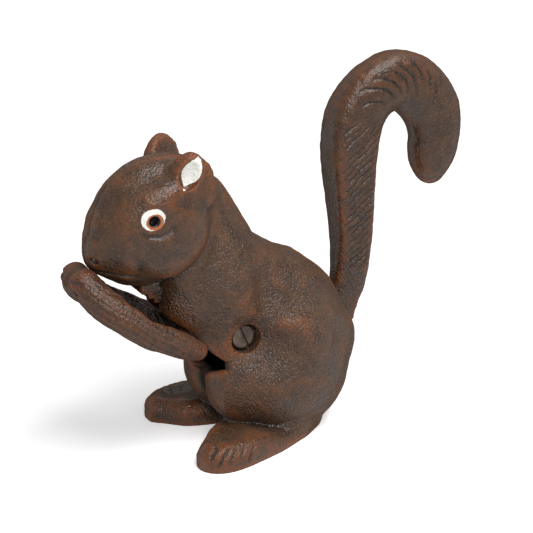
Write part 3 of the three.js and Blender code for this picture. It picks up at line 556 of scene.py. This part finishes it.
def sampleField(field, axes, cell):  # the field is only worked out finely in the blocks near the surface
    block = 5
    shape = [len(a) for a in axes]
    middles = []
    for a in axes:
        steps = np.arange(-(-len(a) // block)) * block + (block - 1) / 2
        middles.append(a[0] + steps.astype(np.float32) * cell)
    coarse = field(np.meshgrid(*middles, indexing="ij"))
    near = np.abs(coarse) < block * cell * 0.87 * 1.4 + 0.8
    values, mask = coarse, near
    for axis in range(3):
        values, mask = np.repeat(values, block, axis), np.repeat(mask, block, axis)
    values = values[:shape[0], :shape[1], :shape[2]].astype(np.float32)
    spots = np.nonzero(mask[:shape[0], :shape[1], :shape[2]])
    chunk = 600000
    for i in range(0, len(spots[0]), chunk):
        part = tuple(s[i:i + chunk] for s in spots)
        values[part] = field([a[s] for a, s in zip(axes, part)])
    return values


def netMesh(name, field, low, high, cell):
    axes = [np.arange(l, h + cell, cell, dtype=np.float32) for l, h in zip(low, high)]
    values = sampleField(field, axes, cell)
    inside = values < 0
    shape = np.array(values.shape) - 1
    corners = [(i, j, k) for i in (0, 1) for j in (0, 1) for k in (0, 1)]
    part = [inside[i:i + shape[0], j:j + shape[1], k:k + shape[2]] for i, j, k in corners]
    mixed = np.logical_or.reduce(part) & ~np.logical_and.reduce(part)
    cells = np.argwhere(mixed)
    number = np.full(shape, -1, np.int64)
    number[mixed] = np.arange(len(cells))
    total = np.zeros((len(cells), 3))
    hits = np.zeros(len(cells))
    for a in range(3):
        for j in (0, 1):
            for k in (0, 1):
                start = np.zeros(3, int)
                start[(a + 1) % 3], start[(a + 2) % 3] = j, k
                end = start.copy()
                end[a] = 1
                va = values[tuple((cells + start).T)].astype(float)
                vb = values[tuple((cells + end).T)].astype(float)
                crosses = (va < 0) != (vb < 0)
                t = np.where(crosses, va / np.where(crosses, va - vb, 1), 0)
                total += (start + (end - start) * t[:, None]) * crosses[:, None]
                hits += crosses
    verts = (cells + total / hits[:, None]) * cell + np.array([a[0] for a in axes])
    faces = []
    for a in range(3):
        b, c = (a + 1) % 3, (a + 2) % 3
        lower = [slice(1, -1)] * 3
        upper = [slice(1, -1)] * 3
        lower[a], upper[a] = slice(0, -1), slice(1, None)
        first, second = inside[tuple(lower)], inside[tuple(upper)]
        for flip, mask in ((False, first & ~second), (True, ~first & second)):
            at = np.argwhere(mask)
            at[:, b] += 1
            at[:, c] += 1
            ring = []
            for db, dc in ((-1, -1), (0, -1), (0, 0), (-1, 0)):
                spot = at.copy()
                spot[:, b] += db
                spot[:, c] += dc
                ring.append(number[tuple(spot.T)])
            quad = np.stack(ring, 1)
            faces.append(quad[:, ::-1] if flip else quad)
    faces = np.concatenate(faces)
    for _ in range(2):  # pull the points onto the surface
        p = [c.astype(np.float32) for c in verts.T]
        d = field(p).astype(float)
        e = np.float32(0.08)
        grad = np.stack([field([c + e * (i == a) for i, c in enumerate(p)]) - d for a in range(3)], 1) / e
        move = grad * (d / np.maximum((grad ** 2).sum(1), 0.3))[:, None]
        length = np.linalg.norm(move, axis=1)
        verts = verts - move * np.minimum(1, 0.45 * cell / np.maximum(length, 1e-6))[:, None]
    place = (verts + np.array([shiftX, 0, 0])) / 1000
    mesh = bpy.data.meshes.new(name)
    mesh.vertices.add(len(place))
    mesh.vertices.foreach_set("co", place.astype(np.float32).ravel())
    mesh.loops.add(len(faces) * 4)
    mesh.loops.foreach_set("vertex_index", faces.astype(np.int32).ravel())
    mesh.polygons.add(len(faces))
    mesh.polygons.foreach_set("loop_start", np.arange(0, len(faces) * 4, 4, dtype=np.int32))
    mesh.polygons.foreach_set("use_smooth", np.ones(len(faces), bool))
    mesh.update(calc_edges=True)
    mesh.validate()
    thing = bpy.data.objects.new(name, mesh)
    bpy.context.scene.collection.objects.link(thing)
    print(name, "built with", len(faces), "faces")
    return thing


def points(thing):  # the mesh's points in the pattern's frame, in millimetres
    co = np.empty(len(thing.data.vertices) * 3, np.float32)
    thing.data.vertices.foreach_get("co", co)
    return co.reshape(-1, 3).astype(float) * 1000 - np.array([shiftX, 0, 0])


def addLayer(thing, name, values):
    layer = thing.data.attributes.new(name, "FLOAT", "POINT")
    layer.data.foreach_set("value", values.astype(np.float32))


def markWear(thing, seamKeep):  # how far each point stands proud of its surroundings, broadly and finely
    mesh = thing.data
    count = len(mesh.vertices)
    place = points(thing)
    normal = np.empty(count * 3, np.float32)
    mesh.vertex_normals.foreach_get("vector", normal)
    normal = normal.reshape(-1, 3)
    edges = np.empty(len(mesh.edges) * 2, np.int32)
    mesh.edges.foreach_get("vertices", edges)
    a, b = edges.reshape(-1, 2).T
    degree = np.maximum(np.bincount(a, minlength=count) + np.bincount(b, minlength=count), 1)

    def around(values):
        return (np.bincount(a, values[b], count) + np.bincount(b, values[a], count)) / degree

    keep = np.clip((np.abs(place[:, 1]) - seamKeep) / 2, 0, 1) if seamKeep else 1
    for name, rounds, strength in (("edge", 8, 3.2), ("proud", 70, 0.85)):
        smooth = place.copy()
        for _ in range(rounds):
            smooth = 0.5 * smooth + 0.5 * np.stack([around(smooth[:, i]) for i in range(3)], 1)
        proud = ((place - smooth) * normal).sum(1) * strength
        for _ in range(3):
            proud = 0.5 * proud + 0.5 * around(proud)
        addLayer(thing, name, np.clip(proud * keep * 0.5 + 0.5, 0, 1))


meshing = {  # spacing of the points, and the boxes that hold the castings, in millimetres
    "cell": 0.62, "leverCell": 0.54,
    "left": ((-92, -44, -1.6), (48, 5.2, 143)), "right": ((-92, -1.2, -1.6), (48, 44, 143)),
    "lever": ((-100, -31, 38), (104, 31, 170)),
}
left = netMesh("leftCasting", lambda p: halfDepth(p, -1), *meshing["left"], meshing["cell"])
right = netMesh("rightCasting", lambda p: halfDepth(p, 1), *meshing["right"], meshing["cell"])
arm = netMesh("leverCasting", leverDepth, *meshing["lever"], meshing["leverCell"])
for piece in (left, right, arm):
    markWear(piece, 0 if piece is arm else 1.0)
    place = points(piece).T
    if piece is arm:
        along, across = chainDepth(place, tailRows)[1:]
        lines = feather(place, along, across)
        calm = 0.6 * smoothStep(place[2], 60, 90) + 0.3 * smoothStep(along, 130, 160)
    else:
        lines = carvedLines(place) * (place[2] > 80) + toeLines(place) * (place[2] < 20)
        calm = smoothStep(np.hypot((place[0] + 60) / 29, (place[2] - 108) / 32), 1.1, 0.85)
        calm = np.maximum(calm, 0.5 * smoothStep(place[2], 20, 12))
    addLayer(piece, "carved", np.clip(lines, 0, 1))
    addLayer(piece, "calm", calm)  # where the skin of the casting is smooth

# Screw and nut

screw = {"headRadius": 5.8, "headHeight": 2.7, "radius": 3.0, "under": 15.3, "slotWidth": 1.5,
         "slotDepth": 1.5, "slotTurn": -66, "end": 20.3, "rings": 64}
nut = {"acrossFlats": 10.0, "seat": 15.3, "height": 5.0, "bore": 3.25}


def addObject(name, made):  # a mesh in millimetres about the screw axis, set in place in metres
    mesh = bpy.data.meshes.new(name)
    bmesh.ops.recalc_face_normals(made, faces=made.faces)
    made.to_mesh(mesh)
    made.free()
    mesh.transform(Matrix.Scale(0.001, 4) @ Matrix.Translation((pivot["x"] + shiftX, 0, pivot["z"])))
    thing = bpy.data.objects.new(name, mesh)
    bpy.context.scene.collection.objects.link(thing)
    return thing


def latheY(name, profile, sides):  # profile of radius and place along Y, turned about the screw axis
    made = bmesh.new()
    angles = [2 * math.pi * i / sides for i in range(sides)]
    rings = []
    for radius, place in profile:
        rings.append([made.verts.new((radius * math.cos(a), place, radius * math.sin(a))) for a in angles])
    for lower, upper in zip(rings[:-1], rings[1:]):
        for i in range(sides):
            made.faces.new((lower[i], upper[i], upper[(i + 1) % sides], lower[(i + 1) % sides]))
    made.faces.new(list(reversed(rings[0])))
    made.faces.new(rings[-1])
    return addObject(name, made)


def applied(thing):
    bpy.context.view_layer.update()
    got = bpy.data.meshes.new_from_object(thing.evaluated_get(bpy.context.evaluated_depsgraph_get()))
    thing.modifiers.clear()
    thing.data = got


def cutWith(thing, cutter):
    step = thing.modifiers.new("cut", "BOOLEAN")
    step.operation, step.object, step.solver = "DIFFERENCE", cutter, "EXACT"
    applied(thing)
    bpy.data.objects.remove(cutter)


def softenEdges(thing, width):
    step = thing.modifiers.new("soften", "BEVEL")
    step.width, step.segments, step.limit_method, step.angle_limit = width, 2, "ANGLE", math.radians(35)
    applied(thing)
    for side in thing.data.polygons:
        side.use_smooth = side.area < 2e-6 or abs(side.normal.y) < 0.9


def buildScrew():
    s = screw
    front = -(s["under"] + s["headHeight"])
    made = latheY("slottedScrew", [
        (s["headRadius"] - 1.4, front), (s["headRadius"] - 0.5, front + 0.25), (s["headRadius"], front + 0.9),
        (s["headRadius"], -s["under"]), (s["radius"], -s["under"]), (s["radius"], s["end"] - 0.6),
        (s["radius"] - 0.6, s["end"])], s["rings"])
    slot = bmesh.new()
    bmesh.ops.create_cube(slot, size=1)
    bmesh.ops.scale(slot, vec=(20, 2 * s["slotDepth"], s["slotWidth"]), verts=slot.verts)
    bmesh.ops.rotate(slot, matrix=Matrix.Rotation(math.radians(-s["slotTurn"]), 3, "Y"), verts=slot.verts)
    bmesh.ops.translate(slot, vec=(0, front, 0), verts=slot.verts)
    cutWith(made, addObject("slotCutter", slot))
    softenEdges(made, 0.00018)
    return made


def buildNut():
    corner, seat, top = nut["acrossFlats"] / math.sqrt(3), nut["seat"], nut["seat"] + nut["height"]
    profile = [(corner - 0.7, seat), (corner, seat + 0.6), (corner, top - 0.6), (corner - 0.7, top)]
    made = latheY("hexNut", profile, 6)
    cutWith(made, latheY("boreCutter", [(nut["bore"], seat - 1), (nut["bore"], top + 1)], 48))
    softenEdges(made, 0.00025)
    return made


pivotScrew, pivotNut = buildScrew(), buildNut()
print("screw and nut built")

# Paint on the eyes and in the ears, kept as distances from its edges so that they stay crisp, and painted
# shade in the deep places of the body halves

paint = {
    "white": (-64.3, 115.2, 5.2, 4.6), "whiteLean": 18.0,  # middle and half sizes of the white of the eye
    "iris": (-63.7, 114.1, 3.9, 3.5), "pupil": (-63.9, 114.3, 2.7, 2.5), "leaf": (4.0, 7.3),
}


def ovalGap(x, z, place, lean=0.0):
    c, s = math.cos(math.radians(lean)), math.sin(math.radians(lean))
    u, v = (x - place[0]) * c + (z - place[1]) * s, (z - place[1]) * c - (x - place[0]) * s
    return (np.hypot(u / place[2], v / place[3]) - 1) * min(place[2], place[3])


def markPaint(thing, side):
    x, y, z = points(thing).T
    onFace = np.abs(y) > 15
    white = np.where(onFace, ovalGap(x, z, paint["white"], paint["whiteLean"]), 9.0)
    iris = np.where(onFace, ovalGap(x, z, paint["iris"]), 9.0)
    pupil = np.where(np.abs(y) > 10, ovalGap(x, z, paint["pupil"]), 9.0)
    across, out, along = earOffsets((x, y, z), side)
    leaf = np.abs(across) - paint["leaf"][0] * (1 - (along / paint["leaf"][1]) ** 2)
    near = (np.abs(out) < 5) & (np.abs(along) < 12) & (side * y > 12)
    ear = np.where(near, leaf, 9.0)
    for label, values in (("white", np.minimum(white, ear)), ("iris", iris), ("pupil", pupil), ("ear", ear)):
        addLayer(thing, label, np.clip(values, -9, 9))
    # Painted shade: darker inside the hollow, in the gap between the halves and in the cleft below the lap
    axis = np.hypot(x - pivot["x"], z - pivot["z"])
    deep = -formDepth([c.astype(np.float32) for c in (x, y, z)])
    innerShade = np.where((z > 118) | (z <= 13), 0, deep * smoothStep(axis, 7.5, 8.5))
    flank = smoothStep(np.abs(y), 12, 15) * smoothStep(axis, 22, 18)
    innerShade = np.clip((innerShade - 2.2) / 2.5, 0, 1) * (1 - flank)
    gap = smoothStep(np.abs(y), 1.4, 1.0) * np.clip(deep / 0.7, 0, 1)
    cleftShade = smoothStep(np.abs(y), 6, 3.5) * np.clip((deep - 0.5) / 1.2, 0, 1)
    cleftShade = cleftShade * smoothStep(x, -17, -21) * smoothStep(z, 38, 34)
    addLayer(thing, "paintedShade", np.maximum(innerShade, np.maximum(gap, 0.85 * cleftShade)))


markPaint(left, -1)
markPaint(right, 1)


# Shaders

def newGroup(name, inputs, outputs):
    group = bpy.data.node_groups.new(name, "ShaderNodeTree")
    for label, kind, value in inputs:
        socket = group.interface.new_socket(label, in_out="INPUT", socket_type=kind)
        if value is not None:
            socket.default_value = value
    for label, kind in outputs:
        group.interface.new_socket(label, in_out="OUTPUT", socket_type=kind)
    return group, group.nodes.new("NodeGroupInput"), group.nodes.new("NodeGroupOutput")


def setInput(tree, socket, value):
    if isinstance(value, bpy.types.NodeSocket):
        tree.links.new(value, socket)
    else:
        socket.default_value = value


def addNode(tree, kind, settings=None, **inputs):
    made = tree.nodes.new("ShaderNode" + kind)
    for label, value in (settings or {}).items():
        setattr(made, label, value)
    for label, value in inputs.items():
        numbered = label[0] == "i" and label[1:].isdigit()
        setInput(tree, made.inputs[int(label[1:]) if numbered else label.replace("_", " ")], value)
    return made


def calc(tree, operation, a, b=0.0):
    return addNode(tree, "Math", {"operation": operation}, i0=a, i1=b).outputs[0]


def centred(tree, value, amount):  # a noise value turned into a swing of plus or minus half the amount
    return calc(tree, "MULTIPLY", calc(tree, "SUBTRACT", value, 0.5), amount)


def ramp(tree, value, low, high, start=0.0, end=1.0):
    made = addNode(tree, "MapRange", {"interpolation_type": "SMOOTHSTEP"}, Value=value,
                   From_Min=low, From_Max=high, To_Min=start, To_Max=end)
    return made.outputs["Result"]


def mixColour(tree, factor, a, b, blend="MIX"):
    made = tree.nodes.new("ShaderNodeMix")
    made.data_type, made.blend_type = "RGBA", blend
    for socket, value in ((made.inputs[0], factor), (made.inputs[6], a), (made.inputs[7], b)):
        setInput(tree, socket, value)
    return made.outputs[2]


def noise(tree, vector, scale, detail=3.0, rough=0.55):
    made = addNode(tree, "TexNoise", None, Vector=vector, Scale=scale, Detail=detail, Roughness=rough)
    return made.outputs["Fac"]


def castSkinGroup():  # pebbled skin of a sand casting: height for bump, and mottle and specks for colour
    group, source, result = newGroup(
        "castSkin", [("Vector", "NodeSocketVector", None), ("Grain", "NodeSocketFloat", 1.0)],
        [("Height", "NodeSocketFloat"), ("Mottle", "NodeSocketFloat"), ("Speck", "NodeSocketFloat"),
         ("Pit", "NodeSocketFloat")])
    place, grain = source.outputs["Vector"], source.outputs["Grain"]
    broad = noise(group, place, calc(group, "MULTIPLY", grain, 400.0), 3.0)
    pebble = addNode(group, "TexVoronoi", {"feature": "SMOOTH_F1"}, Vector=place, Smoothness=0.5,
                     Scale=calc(group, "MULTIPLY", grain, 1050.0)).outputs["Distance"]
    fine = noise(group, place, calc(group, "MULTIPLY", grain, 1700.0), 2.0)
    height = calc(group, "ADD", calc(group, "MULTIPLY", broad, 0.5), calc(group, "MULTIPLY", pebble, -0.42))
    height = calc(group, "ADD", height, calc(group, "MULTIPLY", fine, 0.2))
    group.links.new(height, result.inputs["Height"])
    group.links.new(ramp(group, noise(group, place, 110.0, 6.0, 0.65), 0.34, 0.68), result.inputs["Mottle"])
    group.links.new(ramp(group, noise(group, place, 1100.0, 2.0), 0.55, 0.68), result.inputs["Speck"])
    group.links.new(ramp(group, noise(group, place, 520.0, 2.0), 0.37, 0.3), result.inputs["Pit"])
    return group


def wornEdgesGroup():  # where handling has rubbed the finish off, and where dirt stays
    group, source, result = newGroup(
        "wornEdges", [("Vector", "NodeSocketVector", None), ("Proud", "NodeSocketFloat", 0.5),
                      ("Edge", "NodeSocketFloat", 0.5), ("Amount", "NodeSocketFloat", 0.5)],
        [("Worn", "NodeSocketFloat"), ("Grime", "NodeSocketFloat")])
    place = source.outputs["Vector"]
    broken = centred(group, noise(group, place, 330.0, 4.0, 0.65), 0.34)
    patch = centred(group, noise(group, place, 55.0, 2.0), 0.22)
    level = calc(group, "ADD", calc(group, "ADD", source.outputs["Proud"], broken), patch)
    fine = calc(group, "ADD", source.outputs["Edge"], broken)
    worn = calc(group, "MAXIMUM", ramp(group, level, 0.53, 0.79), ramp(group, fine, 0.61, 0.85))
    grime = calc(group, "MAXIMUM", ramp(group, level, 0.38, 0.15), ramp(group, fine, 0.34, 0.12))
    group.links.new(calc(group, "MULTIPLY", worn, source.outputs["Amount"]), result.inputs["Worn"])
    group.links.new(grime, result.inputs["Grime"])
    return group


castSkin, wornEdges = castSkinGroup(), wornEdgesGroup()


def placeGroup(tree, group, **inputs):
    made = tree.nodes.new("ShaderNodeGroup")
    made.node_tree = group
    for label, value in inputs.items():
        setInput(tree, made.inputs[label], value)
    return made


def newMaterial(name):
    material = bpy.data.materials.new(name)
    material.use_nodes = True
    tree = material.node_tree
    return material, tree, tree.nodes["Principled BSDF"]


def attribute(tree, name):
    made = tree.nodes.new("ShaderNodeAttribute")
    made.attribute_name = name
    return made.outputs["Fac"]


ironFinish = {
    "dark": (0.037, 0.018, 0.009, 1), "brown": (0.067, 0.030, 0.012, 1), "grime": (0.022, 0.015, 0.011, 1),
    # The near-black below darkens pits and carved grooves, and is painted shade in the deep places
    "rubbed": (0.13, 0.039, 0.011, 1), "fleck": (0.2, 0.14, 0.11, 1), "pitAndShadeBlack": (0.006, 0.005, 0.004, 1),
    # The pale colour below is partly dust and partly painted glints in the hollows
    "dustAndGlints": (0.3, 0.27, 0.23, 1), "bump": 0.0011, "calmShare": 0.4, "smooth": 0.2, "rough": 0.33,
    "skimRough": 0.6, "metallic": 0.0, "sheen": 0.27,
    "white": (0.86, 0.85, 0.81, 1), "amber": (0.3, 0.09, 0.03, 1), "black": (0.008, 0.006, 0.006, 1),
}


def shade(colour, share):
    return tuple(c * share for c in colour[:3]) + (1,)


def ironMaterial(name, worn, tone, painted):
    f = ironFinish
    material, tree, shader = newMaterial(name)
    place = tree.nodes.new("ShaderNodeTexCoord").outputs["Object"]
    skin = placeGroup(tree, castSkin, Vector=place, Grain=1.0)
    wear = placeGroup(tree, wornEdges, Vector=place, Proud=attribute(tree, "proud"),
                      Edge=attribute(tree, "edge"), Amount=worn)
    broken = centred(tree, noise(tree, place, 500.0), 0.3)
    # Darker in the carved grooves about the face, the toes and the tail
    grooveDarkening = ramp(tree, calc(tree, "ADD", attribute(tree, "carved"), broken), 0.15, 0.5)
    colour = mixColour(tree, skin.outputs["Mottle"], shade(f["dark"], tone), shade(f["brown"], tone))
    colour = mixColour(tree, calc(tree, "MULTIPLY", skin.outputs["Speck"], 0.2), colour, f["fleck"])
    colour = mixColour(tree, wear.outputs["Worn"], colour, shade(f["rubbed"], tone))
    colour = mixColour(tree, calc(tree, "MULTIPLY", wear.outputs["Grime"], 0.85), colour, f["grime"])
    colour = mixColour(tree, calc(tree, "MULTIPLY", skin.outputs["Pit"], 0.6), colour, f["pitAndShadeBlack"])
    colour = mixColour(tree, calc(tree, "MULTIPLY", grooveDarkening, 0.4), colour, f["pitAndShadeBlack"])
    # Pale specks in the hollows, partly dust and partly painted glints
    dustAndGlints = calc(tree, "MULTIPLY", wear.outputs["Grime"], skin.outputs["Speck"])
    colour = mixColour(tree, calc(tree, "MULTIPLY", dustAndGlints, 0.7), colour, f["dustAndGlints"])
    rough = ramp(tree, skin.outputs["Mottle"], 0, 1, f["smooth"], f["rough"])
    skim = addNode(tree, "LayerWeight", None, Blend=0.5).outputs["Facing"]
    rough = calc(tree, "ADD", rough, ramp(tree, skim, 0.25, 0.75, 0.0, f["skimRough"]))  # dull at a low angle
    if painted:
        # Painted shade: near-black inside the hollow, in the seam gap and in the leg cleft
        colour = mixColour(tree, attribute(tree, "paintedShade"), colour, f["pitAndShadeBlack"])
        rough = calc(tree, "MAXIMUM", rough, attribute(tree, "paintedShade"))
        ragged = centred(tree, noise(tree, place, 900.0), 0.8)
        white = ramp(tree, calc(tree, "ADD", attribute(tree, "white"), ragged), 0.15, -0.15)
        fromRim = calc(tree, "ABSOLUTE", calc(tree, "SUBTRACT", attribute(tree, "ear"), 1.2))
        rim = ramp(tree, fromRim, 1.3, 0.5)
        iris = ramp(tree, calc(tree, "ADD", attribute(tree, "iris"), ragged), 0.15, -0.15)
        pupil = ramp(tree, calc(tree, "ADD", attribute(tree, "pupil"), ragged), 0.2, -0.1)
        colour = mixColour(tree, calc(tree, "MULTIPLY", rim, 0.6), colour, f["rubbed"])
        dusty = mixColour(tree, noise(tree, place, 600.0, 3.0), (0.55, 0.54, 0.5, 1), f["white"])
        colour = mixColour(tree, white, colour, dusty)
        colour = mixColour(tree, iris, colour, f["amber"])
        colour = mixColour(tree, pupil, colour, f["black"])
    tree.links.new(colour, shader.inputs["Base Color"])
    tree.links.new(rough, shader.inputs["Roughness"])
    shader.inputs["Metallic"].default_value = f["metallic"]
    shader.inputs["Specular IOR Level"].default_value = f["sheen"]
    pebbled = ramp(tree, attribute(tree, "calm"), 0, 1, f["bump"], f["calmShare"] * f["bump"])
    bump = addNode(tree, "Bump", None, Height=skin.outputs["Height"], Distance=pebbled, Strength=1.0)
    tree.links.new(bump.outputs["Normal"], shader.inputs["Normal"])
    return material


steelFinish = {"clean": (0.12, 0.085, 0.065, 1), "dull": (0.05, 0.036, 0.028, 1),
               "rust": (0.08, 0.03, 0.012, 1), "rough": 0.5, "smooth": 0.36, "metallic": 0.7, "bump": 0.0002}


def steelMaterial(name):
    f = steelFinish
    material, tree, shader = newMaterial(name)
    place = tree.nodes.new("ShaderNodeTexCoord").outputs["Object"]
    skin = placeGroup(tree, castSkin, Vector=place, Grain=1.6)
    point = tree.nodes.new("ShaderNodeNewGeometry").outputs["Pointiness"]
    wear = placeGroup(tree, wornEdges, Vector=place, Proud=point, Edge=point, Amount=0.8)
    colour = mixColour(tree, skin.outputs["Mottle"], f["dull"], f["clean"])
    colour = mixColour(tree, wear.outputs["Worn"], colour, f["clean"])
    colour = mixColour(tree, wear.outputs["Grime"], colour, f["rust"])
    tree.links.new(colour, shader.inputs["Base Color"])
    rough = ramp(tree, skin.outputs["Mottle"], 0, 1, f["rough"], f["smooth"])
    tree.links.new(rough, shader.inputs["Roughness"])
    shader.inputs["Metallic"].default_value = f["metallic"]
    bump = addNode(tree, "Bump", None, Height=skin.outputs["Height"], Distance=f["bump"], Strength=1.0)
    tree.links.new(bump.outputs["Normal"], shader.inputs["Normal"])
    return material


bodyIron = ironMaterial("bodyIron", 0.9, 0.95, True)
leverIron = ironMaterial("leverIron", 1.0, 0.75, False)
screwSteel = steelMaterial("screwSteel")

for piece, node, material, bodyName, slotName in (
        (left, "left_body_half", bodyIron, "body", "iron"),
        (right, "right_body_half", bodyIron, "body", "iron"),
        (arm, "lever", leverIron, "lever", "iron"),
        (pivotScrew, "pivot_screw", screwSteel, "body", "steel"),
        (pivotNut, "pivot_nut", screwSteel, "body", "steel")):
    piece.data.materials.clear()
    piece.data.materials.append(material)
    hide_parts(node)
    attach(piece, bodyName)
print("materials set")

# Floor, light and camera

studio = {"floorWhite": 0.86, "floorGlow": 0.34, "farGlow": 0.5, "skyLight": 0.22,
          "topLight": 9.0, "topPlace": (0.12, -0.35, 0.85), "topAim": (0, 0, 0.06), "topSize": (0.7, 0.45),
          "sideLight": 5.0, "sidePlace": (-0.35, -0.85, 0.7), "sideAim": (0, 0, 0.08),
          "sideSize": (0.35, 0.3),
          "azimuth": -28.0, "elevation": 21.1, "distance": 0.7605, "lens": 113.0,
          "aim": (-0.00231, 0.0, 0.0758)}


def seenDirectly(tree):  # one where the camera sees a thing itself, or in a mirror or through glass
    rays = tree.nodes.new("ShaderNodeLightPath")
    seen = calc(tree, "ADD", rays.outputs["Is Camera Ray"], rays.outputs["Is Glossy Ray"])
    return calc(tree, "MINIMUM", calc(tree, "ADD", seen, rays.outputs["Is Transmission Ray"]), 1.0)


def makeFloor():
    made = bmesh.new()
    bmesh.ops.create_grid(made, x_segments=1, y_segments=1, size=5.0)
    mesh = bpy.data.meshes.new("floor")
    made.to_mesh(mesh)
    made.free()
    floor = bpy.data.objects.new("floor", mesh)
    bpy.context.scene.collection.objects.link(floor)
    material, tree, shader = newMaterial("floorWhite")
    w = studio["floorWhite"]
    shader.inputs["Base Color"].default_value = (w, w, w, 1)
    shader.inputs["Roughness"].default_value = 0.6
    place = tree.nodes.new("ShaderNodeTexCoord").outputs["Object"]
    away = addNode(tree, "VectorMath", {"operation": "LENGTH"}, i0=place).outputs["Value"]
    near = studio["floorGlow"]
    level = ramp(tree, away, 0.2, 1.2, near, near + studio["farGlow"])
    strength = calc(tree, "MULTIPLY", seenDirectly(tree), level)
    glow = addNode(tree, "Emission", None, Color=(1, 1, 1, 1), Strength=strength)
    total = tree.nodes.new("ShaderNodeAddShader")
    tree.links.new(shader.outputs[0], total.inputs[0])
    tree.links.new(glow.outputs[0], total.inputs[1])
    tree.links.new(total.outputs[0], tree.nodes["Material Output"].inputs["Surface"])
    mesh.materials.append(material)


def makeWorld():
    world = bpy.data.worlds.new("studio")
    bpy.context.scene.world = world
    world.use_nodes = True
    tree = world.node_tree
    strength = ramp(tree, seenDirectly(tree), 0, 1, studio["skyLight"], 1.0)
    tree.links.new(strength, tree.nodes["Background"].inputs["Strength"])
    tree.nodes["Background"].inputs["Color"].default_value = (1, 1, 1, 1)


def softbox(name, place, aim, size, power):
    lamp = bpy.data.lights.new(name, "AREA")
    lamp.shape, lamp.size, lamp.size_y, lamp.energy = "RECTANGLE", size[0], size[1], power
    thing = bpy.data.objects.new(name, lamp)
    bpy.context.scene.collection.objects.link(thing)
    thing.location = place
    thing.rotation_euler = (Vector(aim) - Vector(place)).to_track_quat("-Z", "Y").to_euler()


def makeCamera():
    s = studio
    a, e = math.radians(s["azimuth"]), math.radians(s["elevation"])
    back = Vector((math.sin(a) * math.cos(e), -math.cos(a) * math.cos(e), math.sin(e)))
    lens = bpy.data.cameras.new("view")
    lens.lens, lens.sensor_width = s["lens"], 36.0
    camera = bpy.data.objects.new("view", lens)
    bpy.context.scene.collection.objects.link(camera)
    camera.location = Vector(s["aim"]) + back * s["distance"]
    camera.rotation_euler = (-back).to_track_quat("-Z", "Y").to_euler()
    bpy.context.scene.camera = camera


makeFloor()
makeWorld()
softbox("topSoftbox", studio["topPlace"], studio["topAim"], studio["topSize"], studio["topLight"])
softbox("sideSoftbox", studio["sidePlace"], studio["sideAim"], studio["sideSize"], studio["sideLight"])
makeCamera()
bpy.context.scene.view_settings.view_transform = "Standard"
print("studio set")
